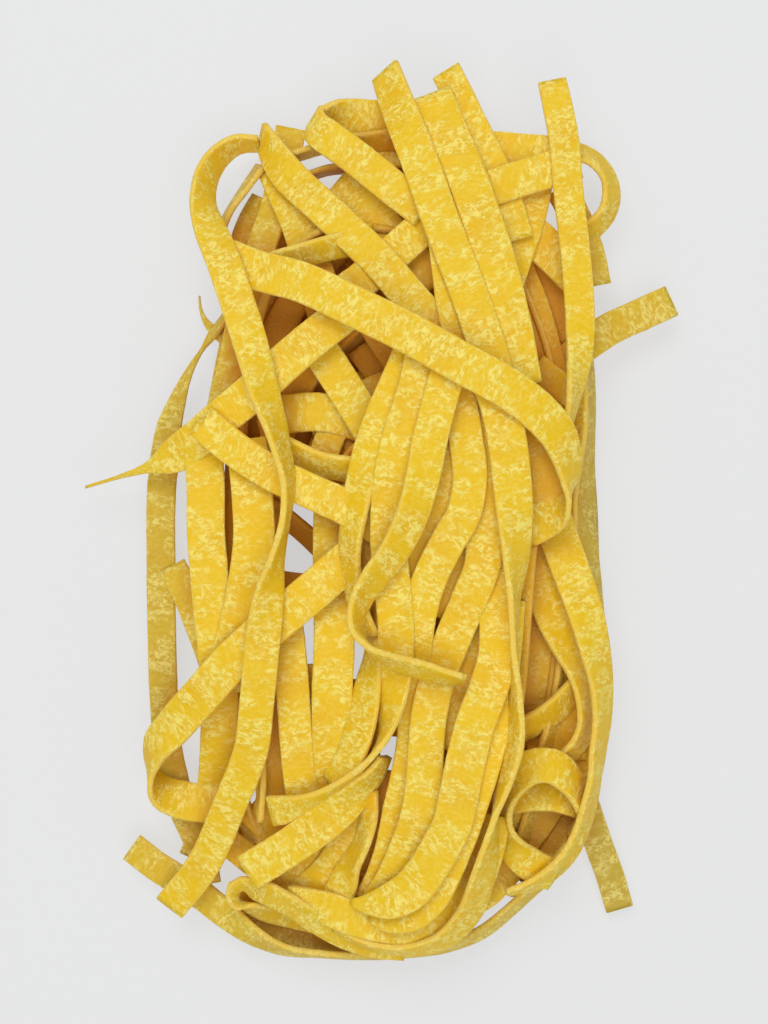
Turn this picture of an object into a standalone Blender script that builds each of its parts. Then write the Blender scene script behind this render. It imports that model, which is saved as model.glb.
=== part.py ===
"""A nest of dry ribbon pasta, as one solid out to its uneven outline.

The long noodles that show are laid one by one over a smaller core, with a few whole turns round its
sides, and all are joined into one closed body. Blender 4.5, metres, +Z up. The nest rests on z = 0
as it does on a table, with its length along Y and the middle of its outline over the origin.
"""

import math
import random

import bmesh
import bpy
from mathutils import Vector

MM = 0.001

# Driving sizes in millimetres
NOODLE_THICKNESS = 1.1
STATION_SPACING = 8.0

# The routes are places in the picture, in its pixels, with heights in millimetres. The picture looks
# straight down on the table, so a pixel spans less on what lies higher.
PLAN_STEP = 0.185
EYE_HEIGHT = 300.0
PICTURE_MIDDLE = (384.0, 512.0)
NEST_MIDDLE = (-0.4, -1.0)


# Each noodle: width in millimetres, then the knots of its route: across and down in the picture, height,
# turn about its own length in degrees (its left edge goes up), and share of the width where it narrows.
NOODLES = {
    # Noodles on top
    "long_noodle": (5.9, [
        (170, 907, 9, 0), (203, 865, 13, 0), (231, 802, 18, 0), (251, 750, 21.5, 0), (257, 700, 24, 0),
        (262, 650, 25.5, 5), (268, 600, 26.5, 35), (276, 560, 27, 72), (285, 520, 27.5, 84),
        (288, 490, 27.5, 78), (279, 440, 27, 62), (263, 388, 26.5, 36), (248, 335, 26, 12),
        (235, 295, 24.5, 0), (221, 255, 22, 5), (209, 225, 18, 30), (203.5, 198, 14, 53),
        (206, 180, 11.5, 57), (213, 165, 9.5, 61), (225, 152, 8, 67), (240, 144, 7, 74),
        (259, 144, 7, 80)]),
    "first_diagonal": (6.2, [
        (262, 136, 7.5, 62), (272, 153, 9.5, 40), (290, 177, 12, 10), (320, 205, 15, 0),
        (350, 233, 17, 0),
        (380, 262, 18.5, 0), (410, 297, 19.5, 0), (440, 330, 20, 0)]),
    "sweep": (6.85, [
        (226, 258, 19.5, 0), (256, 270, 21.5, 0), (298, 281, 24, 0), (359, 309, 27, 0),
        (410, 334, 28.5, 0),
        (460, 362, 29.5, 0), (510, 390, 29, 0), (538, 411, 28, -8), (558, 434, 26.5, -20),
        (568, 460, 25, -42),
        (571, 483, 23.5, -66), (566, 500, 22.5, -104), (555, 512, 21.5, -146), (537, 523, 20.5, -175),
        (512, 535, 20, -180)]),
    "hook": (5.9, [
        (452, 360, 27, 0), (440, 400, 27.5, 0), (430, 440, 28, 0), (425, 467, 28.5, -10),
        (418, 497, 29, -22),
        (408, 525, 29.5, -28), (392, 555, 29.5, -36), (373, 580, 29.5, -46), (360, 603, 29.5, -58),
        (356, 627, 29.5, -74), (368, 647, 29.5, -95), (396, 662, 29, -115), (425, 671, 28.5, -120),
        (445, 677, 28, -115), (462, 680, 27.5, -108)]),
    # Strips whose ends stand out at the top
    "strip_a": (6.4, [
        (385, 71, 14, 42), (397.5, 105, 16, 26), (411.5, 140, 18, 12), (425, 175, 19.5, 5),
        (437, 210, 21, 0), (449, 242, 22, 0), (461, 272, 23, 0), (473, 305, 23.5, 0), (485, 340, 24, 0),
        (496, 375, 24, 0)]),
    "strip_b": (6.9, [
        (432, 94, 15, 0), (447, 130, 17, 0), (462, 165, 18.5, 0), (475, 200, 20, 0), (487, 235, 21, 0),
        (498, 270, 22, 0), (508, 310, 22.4, 0), (516, 350, 22.5, 0), (522, 385, 22.5, 0)]),
    "strip_c": (5.4, [
        (446, 71, 12.5, 20), (458, 95, 13, 20), (470, 120, 14, 15), (484, 148, 14.5, 10),
        (497, 175, 15, 0),
        (508, 205, 15.5, 0), (518, 240, 16, 0)]),
    "strip_d": (5.2, [
        (552, 81, 15, 0, 0.95), (558.5, 110, 16, 0), (563.5, 137, 17, 0), (568, 187, 18, 0),
        (573, 232, 18.5, 0), (578, 283, 19, 0), (580, 325, 19.5, -10), (579, 360, 20, -35),
        (574, 395, 20, -62), (567, 430, 20, -80)]),
    "top_ribbon": (6.1, [
        (405, 119, 8, 0), (375, 117.5, 8.5, -12), (350, 115.5, 9.5, -32), (329, 114, 10.5, -65),
        (315, 118, 12, -100), (315, 127, 13.5, -140), (330, 139, 14.5, -172), (351, 154, 15.5, -180),
        (370, 169, 16.5, -180), (392, 187, 17.2, -180), (425, 212, 17.4, -180)]),
    "under_top_ribbon": (6.0, [
        (337, 183, 10, 0), (362, 202, 12, 0), (387, 228, 13, 0), (410, 254, 14, 0), (434, 288, 14.5, 0)]),
    "hole_edge": (6.2, [
        (446, 240, 19.4, 0), (450, 270, 20.6, 0), (454, 302, 21.6, 0), (464, 345, 21.6, 0)]),
    "under_arch": (5.4, [
        (372, 130, 6, 0), (392, 155, 6, 0), (414, 186, 7, 0)]),
    "second_diagonal": (6.7, [
        (273, 164, 6, 20), (286, 192, 9, 5), (299, 222, 11, 0), (310, 255, 13, 0), (320, 290, 14, 0),
        (331, 330, 15, 0)]),
    "sweep_neighbour": (4.8, [
        (246, 280, 18, 20), (272, 265, 18.2, 40), (300, 256, 17.8, 45), (325, 249, 17, 40),
        (350, 243, 15.5, 30), (375, 236, 14, 20)]),
    "left_patch": (5.4, [
        (291, 128, 7, 0), (285, 160, 6.5, 0), (276, 205, 7, 10), (262, 245, 9, 10), (250, 285, 10, 0),
        (240, 330, 11, 0), (231, 375, 11.5, 0), (222, 410, 12, 0)]),
    "narrow_strip": (5.0, [
        (261, 166, 5, 66), (244, 190, 5, 70), (228, 214, 6, 74), (219, 236, 7, 70), (214, 262, 8, 60)]),
    "olive_strip": (5.2, [
        (262, 198, 4, 40), (252, 216, 4, 35), (243, 245, 5, 20), (244, 285, 6.5, 5), (240, 315, 7.5, 0),
        (233, 350, 8, 0), (224, 395, 9, 0), (216, 440, 10, 0)]),
    "thin_bridge": (4.6, [
        (294, 181, 6, 86), (310, 176, 6, 88), (325, 171, 6, 88), (345, 168, 6.5, 84), (372, 166, 7, 70)]),
    "thin_bridge_two": (4.6, [
        (292, 157, 7, 84), (306, 153, 7.3, 84), (320, 148, 7.6, 80), (345, 144, 8, 62),
        (372, 143, 8.5, 50),
        (402, 138, 9, 42), (430, 130, 9.5, 30)]),
    "thin_hook": (3.2, [
        (199.5, 296, 6, 0, 0.1), (200.5, 308, 6, 0, 0.16), (204.5, 319, 6.5, 0, 0.3),
        (210, 327, 7, 0, 0.5), (228, 340, 7.5, 0, 0.9)]),
    # Noodles across the right of the top
    "cross_right": (6.3, [
        (577, 161, 16, 0), (551, 169.5, 16.5, 0), (520, 179, 16.6, 0), (487, 190, 16.5, 0),
        (455, 205, 16.5, 0),
        (425, 226, 16.5, 0), (395, 252, 17, 0), (365, 278, 17.5, 0), (335, 300, 18, 0)]),
    "right_loop": (5.8, [
        (470, 152, 12, 0), (495, 148, 12.5, 0), (520, 150, 13, -5), (548, 150, 13.5, -25),
        (573, 151, 13, -46), (591, 157, 12.5, -54), (603, 168, 12, -56), (610.5, 184, 11, -56),
        (611, 201, 10.5, -56), (606, 215, 10, -60), (595, 227, 9.5, -60), (580, 237, 9, -45),
        (564, 252, 8.5, -20), (553, 280, 8, 0)]),
    "right_tail": (5.4, [
        (560, 188, 9.5, 0), (573, 212, 9, 0), (584, 237, 8.5, 0), (591, 260, 8, 0), (596, 286, 7.5, 0)]),
    "right_patch": (6.8, [
        (518, 222, 13.8, 0), (538, 240, 13.8, 0), (558, 259, 13.4, 0), (578, 279, 12.6, 0)]),
    "under_right": (6.2, [
        (537, 172, 14.5, 0), (533, 195, 15, 0), (527, 220, 15.6, 0), (517, 250, 16.2, 0),
        (505, 285, 16.6, 0)]),
    "deep_right": (6.8, [
        (514, 268, 11, 0), (530, 308, 11.3, 0), (541, 345, 11.3, 0), (552, 390, 11, 0)]),
    "deep_right_two": (5.6, [
        (540, 262, 9, 0), (558, 300, 9, 0), (576, 340, 9, 0)]),
    "short_end": (4.8, [
        (535, 366, 14, 0), (557, 384, 13.5, 0), (582, 404, 12.5, 0)]),
    "right_stray": (5.8, [
        (562, 366, 10.5, 0), (585, 346, 9.5, 0), (610, 329, 8, 0), (640, 315, 7, 0), (671, 301, 6, 0)]),
    # Lengthwise noodles of the middle
    "middle_one": (5.6, [
        (412, 344, 23.5, 0), (404, 365, 24, 0), (394, 388, 24.5, 0), (382, 415, 25, 10),
        (370, 447, 25, 20), (361, 480, 25, 30), (354, 515, 25, 42), (350, 545, 24.8, 52),
        (352, 580, 24.5, 60), (358, 608, 24, 60), (367, 635, 23, 50)]),
    "middle_two": (6.2, [
        (424, 350, 25.5, 0), (417, 385, 26, 0), (403, 428, 26.5, 0), (393, 470, 26.5, 0),
        (389, 510, 26.5, 0),
        (389, 550, 26, 0), (393, 590, 25.5, 0), (396, 625, 25, 0), (396, 660, 24.5, 15),
        (393, 690, 24, 35),
        (388, 717, 23.5, 58), (380, 742, 23, 84), (362, 770, 22, 108), (335, 792, 21, 122),
        (305, 807, 20, 140),
        (270, 811, 19, 152)]),
    "under_hook": (5.5, [
        (378, 470, 18.5, 0), (374, 530, 18.5, 0), (375, 600, 18.5, 0), (383, 645, 18.5, 0),
        (379, 690, 18.5, 0), (374, 735, 17.5, 0)]),
    "slot_under": (5.5, [
        (450, 440, 23.4, 0), (445, 475, 24, 0), (435, 515, 24, 0), (421, 560, 23.6, 0),
        (411, 605, 23.2, 0), (405, 645, 23, 0)]),
    "slot_under_two": (6.0, [
        (488, 590, 20.5, 0), (474, 630, 21.5, 0), (463, 665, 21.8, 0), (455, 705, 21.8, 0),
        (450, 750, 21.5, 0)]),
    "middle_four": (5.9, [
        (452, 370, 24, 0), (459, 400, 24.5, 0), (466, 440, 25, 0), (470, 480, 25.5, 0),
        (463, 515, 25.7, 0),
        (446, 545, 25.7, 0), (430, 578, 25.2, 0), (419, 615, 24.8, 0), (415, 650, 24, 0),
        (414, 690, 22.5, 0),
        (414, 738, 21.5, 0), (408, 775, 21, 0), (400, 810, 20.5, 0), (392, 848, 19.5, 0),
        (382, 878, 17.8, 0), (371, 900, 16, 0)]),
    "middle_five": (6.2, [
        (470, 385, 23, 0), (480, 440, 23.8, 0), (484, 490, 24.2, 0), (483, 530, 24.2, 0),
        (483, 562, 24.3, 0),
        (469, 600, 24, 0), (452, 640, 23.8, 0), (437, 680, 23.5, 0), (429, 715, 23.5, 0),
        (426, 750, 23.5, 0),
        (423, 790, 23.5, 0), (417, 822, 23, 0), (406, 852, 21.6, 0), (393, 880, 19.6, 0),
        (378, 903, 17.2, 0)]),
    "middle_six": (6.7, [
        (484, 460, 22, 0), (490, 520, 22.5, 0), (495, 580, 23, 0), (499, 620, 24, 0), (498, 655, 25, 0),
        (488, 690, 25.5, 0), (475, 725, 26, 0), (466, 760, 26, 0), (459, 795, 26, 0), (452, 825, 25.5, 0),
        (438, 852, 25, 0), (425, 873, 24, 5), (408, 892, 23, 12), (386, 902, 22, 15, 0.86),
        (367, 904, 20.6, 15, 0.5), (351, 902, 19.2, 10, 0.15)]),
    "middle_eight": (6.3, [
        (507, 600, 21.5, 0), (503, 650, 22.5, 0), (498, 690, 23.5, 0), (491, 730, 24.2, 0),
        (482, 765, 24.6, 0), (471, 800, 24.6, 0), (459, 835, 24, 0), (446, 866, 23, 0), (432, 894, 22, 5),
        (412, 912, 21, 15), (390, 918, 19.8, 18, 0.8), (370, 915, 18.4, 18, 0.4)]),
    "middle_seven": (6.6, [
        (484, 365, 26, 0), (498, 400, 26.5, 0), (507, 440, 27, 0), (512, 480, 27, -5),
        (515, 520, 27, -25),
        (516, 560, 27, -50), (514, 600, 27, -74), (514, 650, 26.5, -84), (515, 700, 26, -103),
        (513, 745, 25.5, -112), (503.5, 780, 25, -106), (496.5, 806, 24, -90), (492, 830, 23.5, -76),
        (488, 852, 22.8, -62), (482, 878, 21.5, -50), (466, 918, 18.5, -46), (444, 940, 17, -52),
        (402, 951, 15.5, -62), (361, 944, 14.5, -64), (332, 930, 14, -60)]),
    "middle_left_a": (5.8, [
        (282, 590, 18, 0), (288, 640, 19, 0), (292, 680, 19.5, 0), (295, 720, 19.5, 0), (298, 760, 19, 0),
        (303, 800, 17.5, 0)]),
    "middle_left_b": (7.0, [
        (334, 500, 17, 0), (333, 550, 18.5, 0), (334, 600, 19.5, 0), (334, 650, 20.5, 0),
        (332, 700, 20.8, 0),
        (333, 745, 20, 0), (335, 790, 17.5, 0), (338, 830, 15, 0)]),
    "middle_left_c": (6.0, [
        (373, 595, 21, 68), (373, 655, 21.5, 66), (367, 690, 22, 45), (360, 725, 22, 32),
        (350, 755, 21.5, 35),
        (332, 785, 20, 40)]),
    "gap_bridge": (4.6, [
        (258, 500, 9, 40), (283, 516, 9, 45), (305, 534, 9, 45), (334, 560, 9, 30)]),
    "slit_under": (3.6, [
        (268, 470, 9, 0), (273, 503, 9, 0), (275, 545, 9, 0)]),
    "under_left": (5.6, [
        (310, 664, 15.5, 0), (312, 720, 15.5, 0), (316, 780, 14.5, 0)]),
    "gap_floor": (5.2, [
        (362, 679, 14.5, 0), (362, 715, 15, 0), (366, 760, 15, 0)]),
    "low_bridge": (5.4, [
        (252, 580, 8, 0), (290, 587, 8, 0), (330, 590, 8, 0), (368, 592, 8, 0)]),
    "dark_column": (5.4, [
        (274, 660, 14.5, 0), (271, 715, 15, 0), (270, 765, 14.5, 0), (275, 815, 13, 0), (290, 850, 11, 0)]),
    "thin_strand": (4.8, [
        (259, 715, 16.5, 80), (262, 755, 16, 82), (262, 790, 15.5, 80), (258, 817, 14.5, 72)]),
    "corner_floor": (5.0, [
        (222, 837, 10.5, 0), (252, 861, 11, 0), (290, 891, 10.5, 0)]),
    "corner_floor_two": (4.8, [
        (248, 808, 11.4, 0), (268, 828, 12, 0), (294, 854, 12, 0)]),
    # Noodles across the left
    "cross_left": (6.5, [
        (352, 308, 21.5, 0), (330, 325, 22, 0), (290, 358, 22.5, 0), (255, 390, 22, 0),
        (225, 415, 20.5, 0), (196, 440, 18, 0), (172, 457, 15.5, 5, 0.92), (150, 467, 13, 5, 0.34),
        (122, 476, 10, 0, 0.13), (86, 487, 7, 0, 0.08)]),
    "shelf": (6.0, [
        (201, 421, 21.7, 0), (232, 447, 22.6, 0), (270, 472, 23.5, 0), (310, 491, 24, 0),
        (345, 507, 24, 0),
        (382, 530, 23.5, 0)]),
    "small_arc": (5.8, [
        (268, 440, 19, 50), (290, 451, 20, 50), (320, 464, 20.5, 50), (352, 470, 21, 45),
        (380, 474, 21, 30)]),
    "diagonal_slab": (6.3, [
        (298, 312, 17, 0), (320, 349, 18.5, 0), (341, 382, 19, 0), (362, 415, 19.5, 0),
        (382, 450, 20, 0)]),
    "middle_slab": (6.8, [
        (258, 420, 15, 0), (288, 414, 16, 0), (318, 412, 16.4, 0), (348, 418, 16.6, 0),
        (380, 432, 16.4, 0)]),
    "slab_under": (6.4, [
        (322, 412, 14.6, 0), (340, 446, 15, 0), (362, 486, 15.2, 0)]),
    "deep_diagonal": (5.0, [
        (359, 347, 12.4, 0), (373, 366, 12.6, 0), (388, 387, 12.6, 0), (405, 412, 12.4, 0)]),
    "hole_right": (5.8, [
        (368, 314, 14.5, 0), (382, 336, 15, 0), (406, 371, 15.2, 0), (430, 405, 15, 0)]),
    "deep_left_top": (7.0, [
        (266, 288, 9.6, 0), (284, 332, 10, 0), (300, 378, 10, 0), (314, 420, 10, 0)]),
    "left_strip": (5.1, [
        (230, 312, 9, 70, 0.8), (214, 333, 8, 50, 0.38), (204, 347, 7.5, 10, 0.13), (195, 361, 7, 0, 0.2),
        (184, 383, 7, 0, 0.4), (177, 402, 7.5, 0, 0.62), (170, 424, 8, 0, 0.85), (166, 450, 8.5, 0),
        (162, 485, 8, 0), (161, 560, 7, 0), (162, 640, 6.5, 0), (164, 700, 6, 0), (169, 755, 6, 0),
        (183, 808, 6, 0), (201, 850, 6.3, 0), (207, 884, 6.8, 0)]),
    "slip": (5.1, [
        (172, 566, 7.8, 0), (188, 597, 9, 0), (201, 629, 11, 0), (214, 665, 12, 0)]),
    "first_column": (6.6, [
        (203, 445, 16.5, 0), (206, 490, 18.5, 0), (206, 530, 19.5, 0), (209, 570, 19.8, 0),
        (213, 615, 19.8, 0), (218, 660, 18.6, 0), (220, 700, 16.4, 0), (219, 740, 13.6, 0),
        (217, 775, 10.4, 0), (213, 805, 7.6, 0)]),
    "second_column": (7.1, [
        (246, 440, 19, 0), (250, 470, 20.3, 0), (253, 505, 21.2, 0), (254, 540, 21.8, 0),
        (250, 575, 21.6, 0),
        (243, 612, 21, 0), (234, 650, 19.9, 0), (228, 690, 19, 0)]),
    "left_band": (6.8, [
        (372, 540, 22, 0), (335, 572, 22.5, 0), (300, 602, 23, 0), (265, 631, 23, 0), (235, 658, 22.3, 0),
        (204, 692, 20.3, 0), (174, 726, 17, 14), (153.5, 750, 14, 46), (150, 774, 11.8, 85),
        (162, 792, 10.5, 130), (187, 801, 10, 160), (212, 804, 10, 175), (245, 808, 10, 180)]),
    # Noodles of the lower end
    "broad_band": (6.6, [
        (385, 757, 21, -74), (375, 774, 20.9, -62), (357, 793, 20.6, -40), (338, 811, 20.1, -14),
        (315, 829, 19.3, 0), (286, 849, 18.2, 0), (247, 873, 16.4, 4)]),
    "lower_fan": (5.2, [
        (360, 803, 16.5, 0), (346, 838, 15.8, 0), (329, 866, 14.4, 0), (308, 886, 12.8, 0),
        (284, 899, 11, 0)]),
    "lower_fan_two": (5.0, [
        (340, 808, 14.6, 0), (318, 844, 14, 0), (294, 874, 12.4, 0), (268, 892, 10.6, 0)]),
    "brown_strip": (5.2, [
        (386, 770, 15.4, 0), (379, 815, 15.2, 0), (369, 858, 14.2, 0), (357, 898, 12.4, 0)]),
    "pale_twist": (5.6, [
        (364, 792, 18, 30), (367, 818, 18.4, 56), (361, 844, 18.4, 66), (352, 862, 18, 60),
        (345, 880, 17, 36), (338, 898, 15, 16), (332, 912, 13.4, 10)]),
    "bottom_turn": (5.6, [
        (340, 925, 7.5, -20), (295, 917, 8, -35), (256, 909, 9.4, -55), (236.5, 899, 11, -88),
        (240, 887.5, 12.8, -128),
        (260, 890.5, 14.2, -142), (286, 903, 14.8, -140), (318, 922.5, 14.8, -144), (346, 936, 14.4, -152),
        (375, 943, 14, -165), (405, 945, 13.5, -175)]),
    "bottom_second": (5.8, [
        (288, 891, 14.4, 20, 0.4), (306, 899, 15.6, 10, 0.72), (330, 909, 16.6, 0), (365, 922, 17.4, 0),
        (405, 927, 18, 5), (444, 914, 18, 10), (472, 890, 18, 0), (486, 855, 18, 0), (494, 815, 18, 0)]),
    "lower_rim": (5.3, [
        (132, 847, 5, 0), (155, 865, 6, 0), (180, 881, 6.5, 0), (204, 897, 7, 5), (226, 915, 7.5, 18),
        (252, 935, 8, 42), (282, 949, 8, 60), (320, 954, 8, 70), (365, 956, 8, 70), (410, 953, 8, 66),
        (450, 946, 8.5, 62), (484, 931, 9, 58), (508, 912, 9.5, 60), (530, 892, 10, 60),
        (552, 871, 10, 55), (573, 846, 10, 50)]),
    "hollow_low": (5.2, [
        (232, 905, 4, 0), (265, 923, 4, 0), (300, 936, 4, 0), (340, 940, 4, 0), (385, 936, 4, 0)]),
    "low_right_floor": (5.6, [
        (455, 905, 12, 0), (480, 896, 12, 0), (505, 872, 12, 0), (528, 845, 11, 0)]),
    # Noodles of the right side
    "right_rim": (5.6, [
        (578, 335, 7, -35), (587.5, 385, 6.5, -60), (588, 440, 6.5, -64), (585.5, 490, 6.5, -56),
        (586.5, 530, 6.5, -52), (591, 570, 6.5, -54), (595.5, 610, 7, -58), (600.5, 650, 7, -62),
        (604, 700, 7, -65), (600, 750, 7, -65), (588, 800, 7, -60), (575, 838, 7, -55)]),
    "right_side": (5.6, [
        (572, 350, 11, 40), (575, 390, 11.5, 50), (575, 430, 11.5, 52), (571, 466, 11.5, 60),
        (567, 500, 11, 62),
        (565, 540, 10.5, 50)]),
    "outer_band": (6.8, [
        (545, 490, 15, 0), (556, 530, 16, 0), (570, 569, 17, -8), (578, 591, 17.5, -15),
        (586, 615, 18, -22),
        (595, 650, 18, -36), (601, 681, 17.5, -50), (602, 722, 17, -60), (598, 750, 16.5, -63),
        (595, 775, 16, -68), (590, 800, 15.5, -64), (582, 828, 15, -62), (570, 853, 14.5, -60),
        (550, 874, 14, -60), (526, 888, 13.5, -64), (508, 893, 13, -70)]),
    "inner_band": (5.8, [
        (528, 515, 13, 0), (536, 553, 14, 0), (541, 590, 14.5, -10), (551, 618, 15, -20),
        (564, 645, 15, -36),
        (577, 670, 15, -50), (585, 700, 14.8, -58), (586, 723, 14.5, -58), (580, 742, 14, -55),
        (565, 759, 13, -55)]),
    "right_ring": (6.1, [
        (583, 838, 12, 70), (582, 806, 14.5, 70), (572, 782, 16.8, 44), (551, 766, 18, 14),
        (531, 767, 18, 20),
        (513.5, 783, 17.6, 52), (507, 806, 17, 82), (506.5, 828, 16.5, 74), (514, 849, 16, 36),
        (532, 865, 15, 12),
        (556, 876, 13, 15)]),
    "ring_back": (5.2, [
        (503, 801, 12.5, -20), (528, 797, 13, -25), (553, 797, 13, -25), (580, 804, 12.5, -20)]),
    "ring_strip": (4.4, [
        (562, 790, 8.6, 0), (545, 818, 8.6, 0), (525, 846, 8.6, 0), (505, 874, 8.6, 0)]),
    "ring_strip_two": (4.6, [
        (586, 802, 7.4, 0), (566, 832, 7.4, 0), (544, 860, 7.4, 0), (524, 884, 7.4, 0)]),
    "hollow_edge": (6.4, [
        (500, 736, 14.4, 40), (528, 727, 14.6, 45), (554, 711, 14.6, 45), (577, 688, 13, 45)]),
    "hollow_floor": (6.6, [
        (526, 575, 12, 0), (533, 640, 12, 0), (541, 700, 11.4, 0), (546, 760, 10.8, 0)]),
    "right_floor": (5.2, [
        (574, 700, 9.6, 0), (583, 745, 9.8, 0), (583, 790, 9.4, 0)]),
    "hollow_side": (5.6, [
        (547, 590, 11, 0), (560, 645, 11.4, 0), (566, 700, 11.4, 0), (570, 760, 10.6, 0)]),
    "fold_floor": (7.0, [
        (536, 420, 15.5, 0), (546, 470, 16, 0), (548, 520, 15.5, 0), (542, 570, 13.4, 0)]),
    "low_right_stray": (5.1, [
        (574, 770, 5, 0), (583, 798, 4.5, 0), (590.5, 820, 4.3, 0), (599.5, 847, 4, 0),
        (610, 876, 3.5, 0),
        (619.5, 908.5, 3, 0)]),
    "low_left_patch": (5.6, [
        (217, 760, 8, 0), (215, 795, 8, 0), (206, 830, 7, 0), (194, 858, 6, 0)]),
}

# The see-through gaps of the nest, as left, right, upper and lower pixel: the turns leave them open.
GAPS = (
    (200, 258, 147, 218), (256, 267, 176, 198), (222, 237, 215, 244), (298, 340, 148, 173),
    (312, 337, 168, 190), (543, 557, 198, 225), (583, 602, 166, 218), (184, 227, 300, 413),
    (174, 189, 480, 569), (175, 199, 619, 695), (180, 200, 720, 787), (287, 315, 507, 526),
    (283, 315, 537, 573), (301, 315, 621, 650), (352, 365, 646, 664), (380, 398, 738, 771),
    (212, 243, 853, 886), (460, 470, 853, 870), (515, 530, 892, 908),
)

# The turns round the sides: a seed, the share of the full size, and the height of its middle line
SIDE_TURNS = ((1, 0.97, 2.9), (4, 0.95, 6.5), (8, 0.92, 10.0), (11, 0.82, 11.6))
TURN_MIDDLE = (1.9, -5.5)
TURN_HALF_SIZE = (35.5, 72.0)
TURN_ROUNDNESS = 2.4
TURN_POINTS = 120
TURN_STRIDE = 3
TURN_WIDTHS = (5.3, 6.2)
TURN_LEANS = (52.0, 68.0)
TURN_RISE = 0.6
LEAN_WAVE = 14.0

# The core and its lobes: middle pixel, half sizes at foot and crown, and height
CORES = {
    "core": ((478, 560), (14.0, 62.0), (11.0, 52.0), 22.5),
    "left_lobe": ((234, 575), (7.0, 45.0), (6.0, 38.0), 15.5),
    "middle_lobe": ((362, 530), (9.0, 30.0), (7.6, 26.0), 12.5),
    "upper_lobe": ((298, 400), (9.6, 17.0), (8.4, 14.0), 9.4),
    "lower_lobe": ((318, 768), (11.0, 18.0), (9.6, 15.0), 9.4),
}
CORE_SIDES = 20

WELD_DISTANCE = 0.02
PASTA_COLOR = (0.78, 0.50, 0.075, 1.0)
PASTA_ROUGHNESS = 0.62


def span(height):
    """What one pixel spans at this height, in millimetres."""
    return PLAN_STEP * (1 - height / EYE_HEIGHT)


def place(across, down, height):
    """The point that shows at this pixel and lies at this height, in millimetres."""
    x = (across - PICTURE_MIDDLE[0]) * span(height) - NEST_MIDDLE[0]
    y = (PICTURE_MIDDLE[1] - down) * span(height) - NEST_MIDDLE[1]
    return Vector((x, y, height))


def pixel_of(point):
    """The pixel at which this point shows."""
    across = PICTURE_MIDDLE[0] + (point.x + NEST_MIDDLE[0]) / span(point.z)
    down = PICTURE_MIDDLE[1] - (point.y + NEST_MIDDLE[1]) / span(point.z)
    return across, down


def smooth_route(knots):
    """Stations on a smooth curve through the knots: x, y, z, turn in degrees, share of the width."""
    rows = [Vector((*place(*knot[:3]), *knot[3:], 1.0)[:5]) for knot in knots]
    lengths = [(b - a).xyz.length for a, b in zip(rows, rows[1:])]
    slopes = [(b - a) / length for a, b, length in zip(rows, rows[1:], lengths)]
    ways = [slopes[0]]
    for before, after, m, n in zip(slopes, slopes[1:], lengths, lengths[1:]):
        ways.append((before * n + after * m) / (m + n))
    ways.append(slopes[-1])
    stations = [rows[0]]
    for i, length in enumerate(lengths):
        count = max(1, round(length / STATION_SPACING))
        for step in range(1, count + 1):
            t = step / count
            leaving = rows[i] * (2 * t**3 - 3 * t**2 + 1) + ways[i] * (length * (t**3 - 2 * t**2 + t))
            arriving = rows[i + 1] * (3 * t**2 - 2 * t**3) + ways[i + 1] * (length * (t**3 - t**2))
            stations.append(leaving + arriving)
    return stations


def closes_gap(station, width):
    """Whether a noodle at this station would cover part of a see-through gap."""
    across, down = pixel_of(station.xyz)
    reach = max(width / 2 * abs(math.cos(math.radians(station[3]))), NOODLE_THICKNESS / 2) / span(station[2])
    for left, right, upper, lower in GAPS:
        if left - reach < across < right + reach and upper - reach < down < lower + reach:
            return True
    return False


def longest_open_run(stations, width):
    """The longest stretch of a closed turn that leaves every gap open."""
    shut = [closes_gap(station, width) for station in stations]
    first = shut.index(True) if any(shut) else 0
    runs = [[]]
    for k in range(1, len(stations) + 1):
        at = (first + k) % len(stations)
        if shut[at]:
            runs.append([])
        else:
            runs[-1].append(stations[at])
    return max(runs, key=len)


def side_turn(seed, share, level):
    """The width and the stations of a noodle laid round the nest, uneven by a seeded draw of its own."""
    draw = random.Random(seed)
    width = draw.uniform(*TURN_WIDTHS)
    lean = draw.uniform(*TURN_LEANS)
    shift = draw.uniform(-1, 1)
    phases = [draw.uniform(0, 2 * math.pi) for _ in range(4)]
    stations = []
    for k in range(TURN_POINTS):
        angle = 2 * math.pi * k / TURN_POINTS
        wave = 1 + 0.035 * math.sin(2 * angle + phases[0]) + 0.02 * math.sin(5 * angle + phases[1])
        across = math.copysign(abs(math.cos(angle)) ** (2 / TURN_ROUNDNESS), math.cos(angle))
        along = math.copysign(abs(math.sin(angle)) ** (2 / TURN_ROUNDNESS), math.sin(angle))
        x = TURN_MIDDLE[0] + shift + TURN_HALF_SIZE[0] * share * wave * across
        y = TURN_MIDDLE[1] + TURN_HALF_SIZE[1] * share * wave * along
        turn = lean + LEAN_WAVE * math.sin(3 * angle + phases[3])
        lowest = (width * math.sin(math.radians(turn)) + NOODLE_THICKNESS) / 2
        z = max(level + TURN_RISE * math.sin(2 * angle + phases[2]), lowest)
        stations.append(Vector((x, y, z, turn, 1.0)))
    run = longest_open_run(stations, width)
    return width, run[::TURN_STRIDE]


def profile(width):
    """The cross-section of a noodle, as a closed curve."""
    curve = bpy.data.curves.new("cross_section", "CURVE")
    spline = curve.splines.new("POLY")
    spline.points.add(3)
    corners = ((-1, -1), (1, -1), (1, 1), (-1, 1))
    for point, (side, face) in zip(spline.points, corners):
        point.co = (side * width / 2 * MM, face * NOODLE_THICKNESS / 2 * MM, 0, 1)
    spline.use_cyclic_u = True
    section = bpy.data.objects.new("cross_section", curve)
    bpy.context.scene.collection.objects.link(section)
    return section


def weld(mesh):
    """Joins the end caps to the sides, with all faces outwards."""
    shape = bmesh.new()
    shape.from_mesh(mesh)
    bmesh.ops.remove_doubles(shape, verts=shape.verts, dist=WELD_DISTANCE * MM)
    bmesh.ops.recalc_face_normals(shape, faces=shape.faces)
    shape.to_mesh(mesh)
    shape.free()


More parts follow.
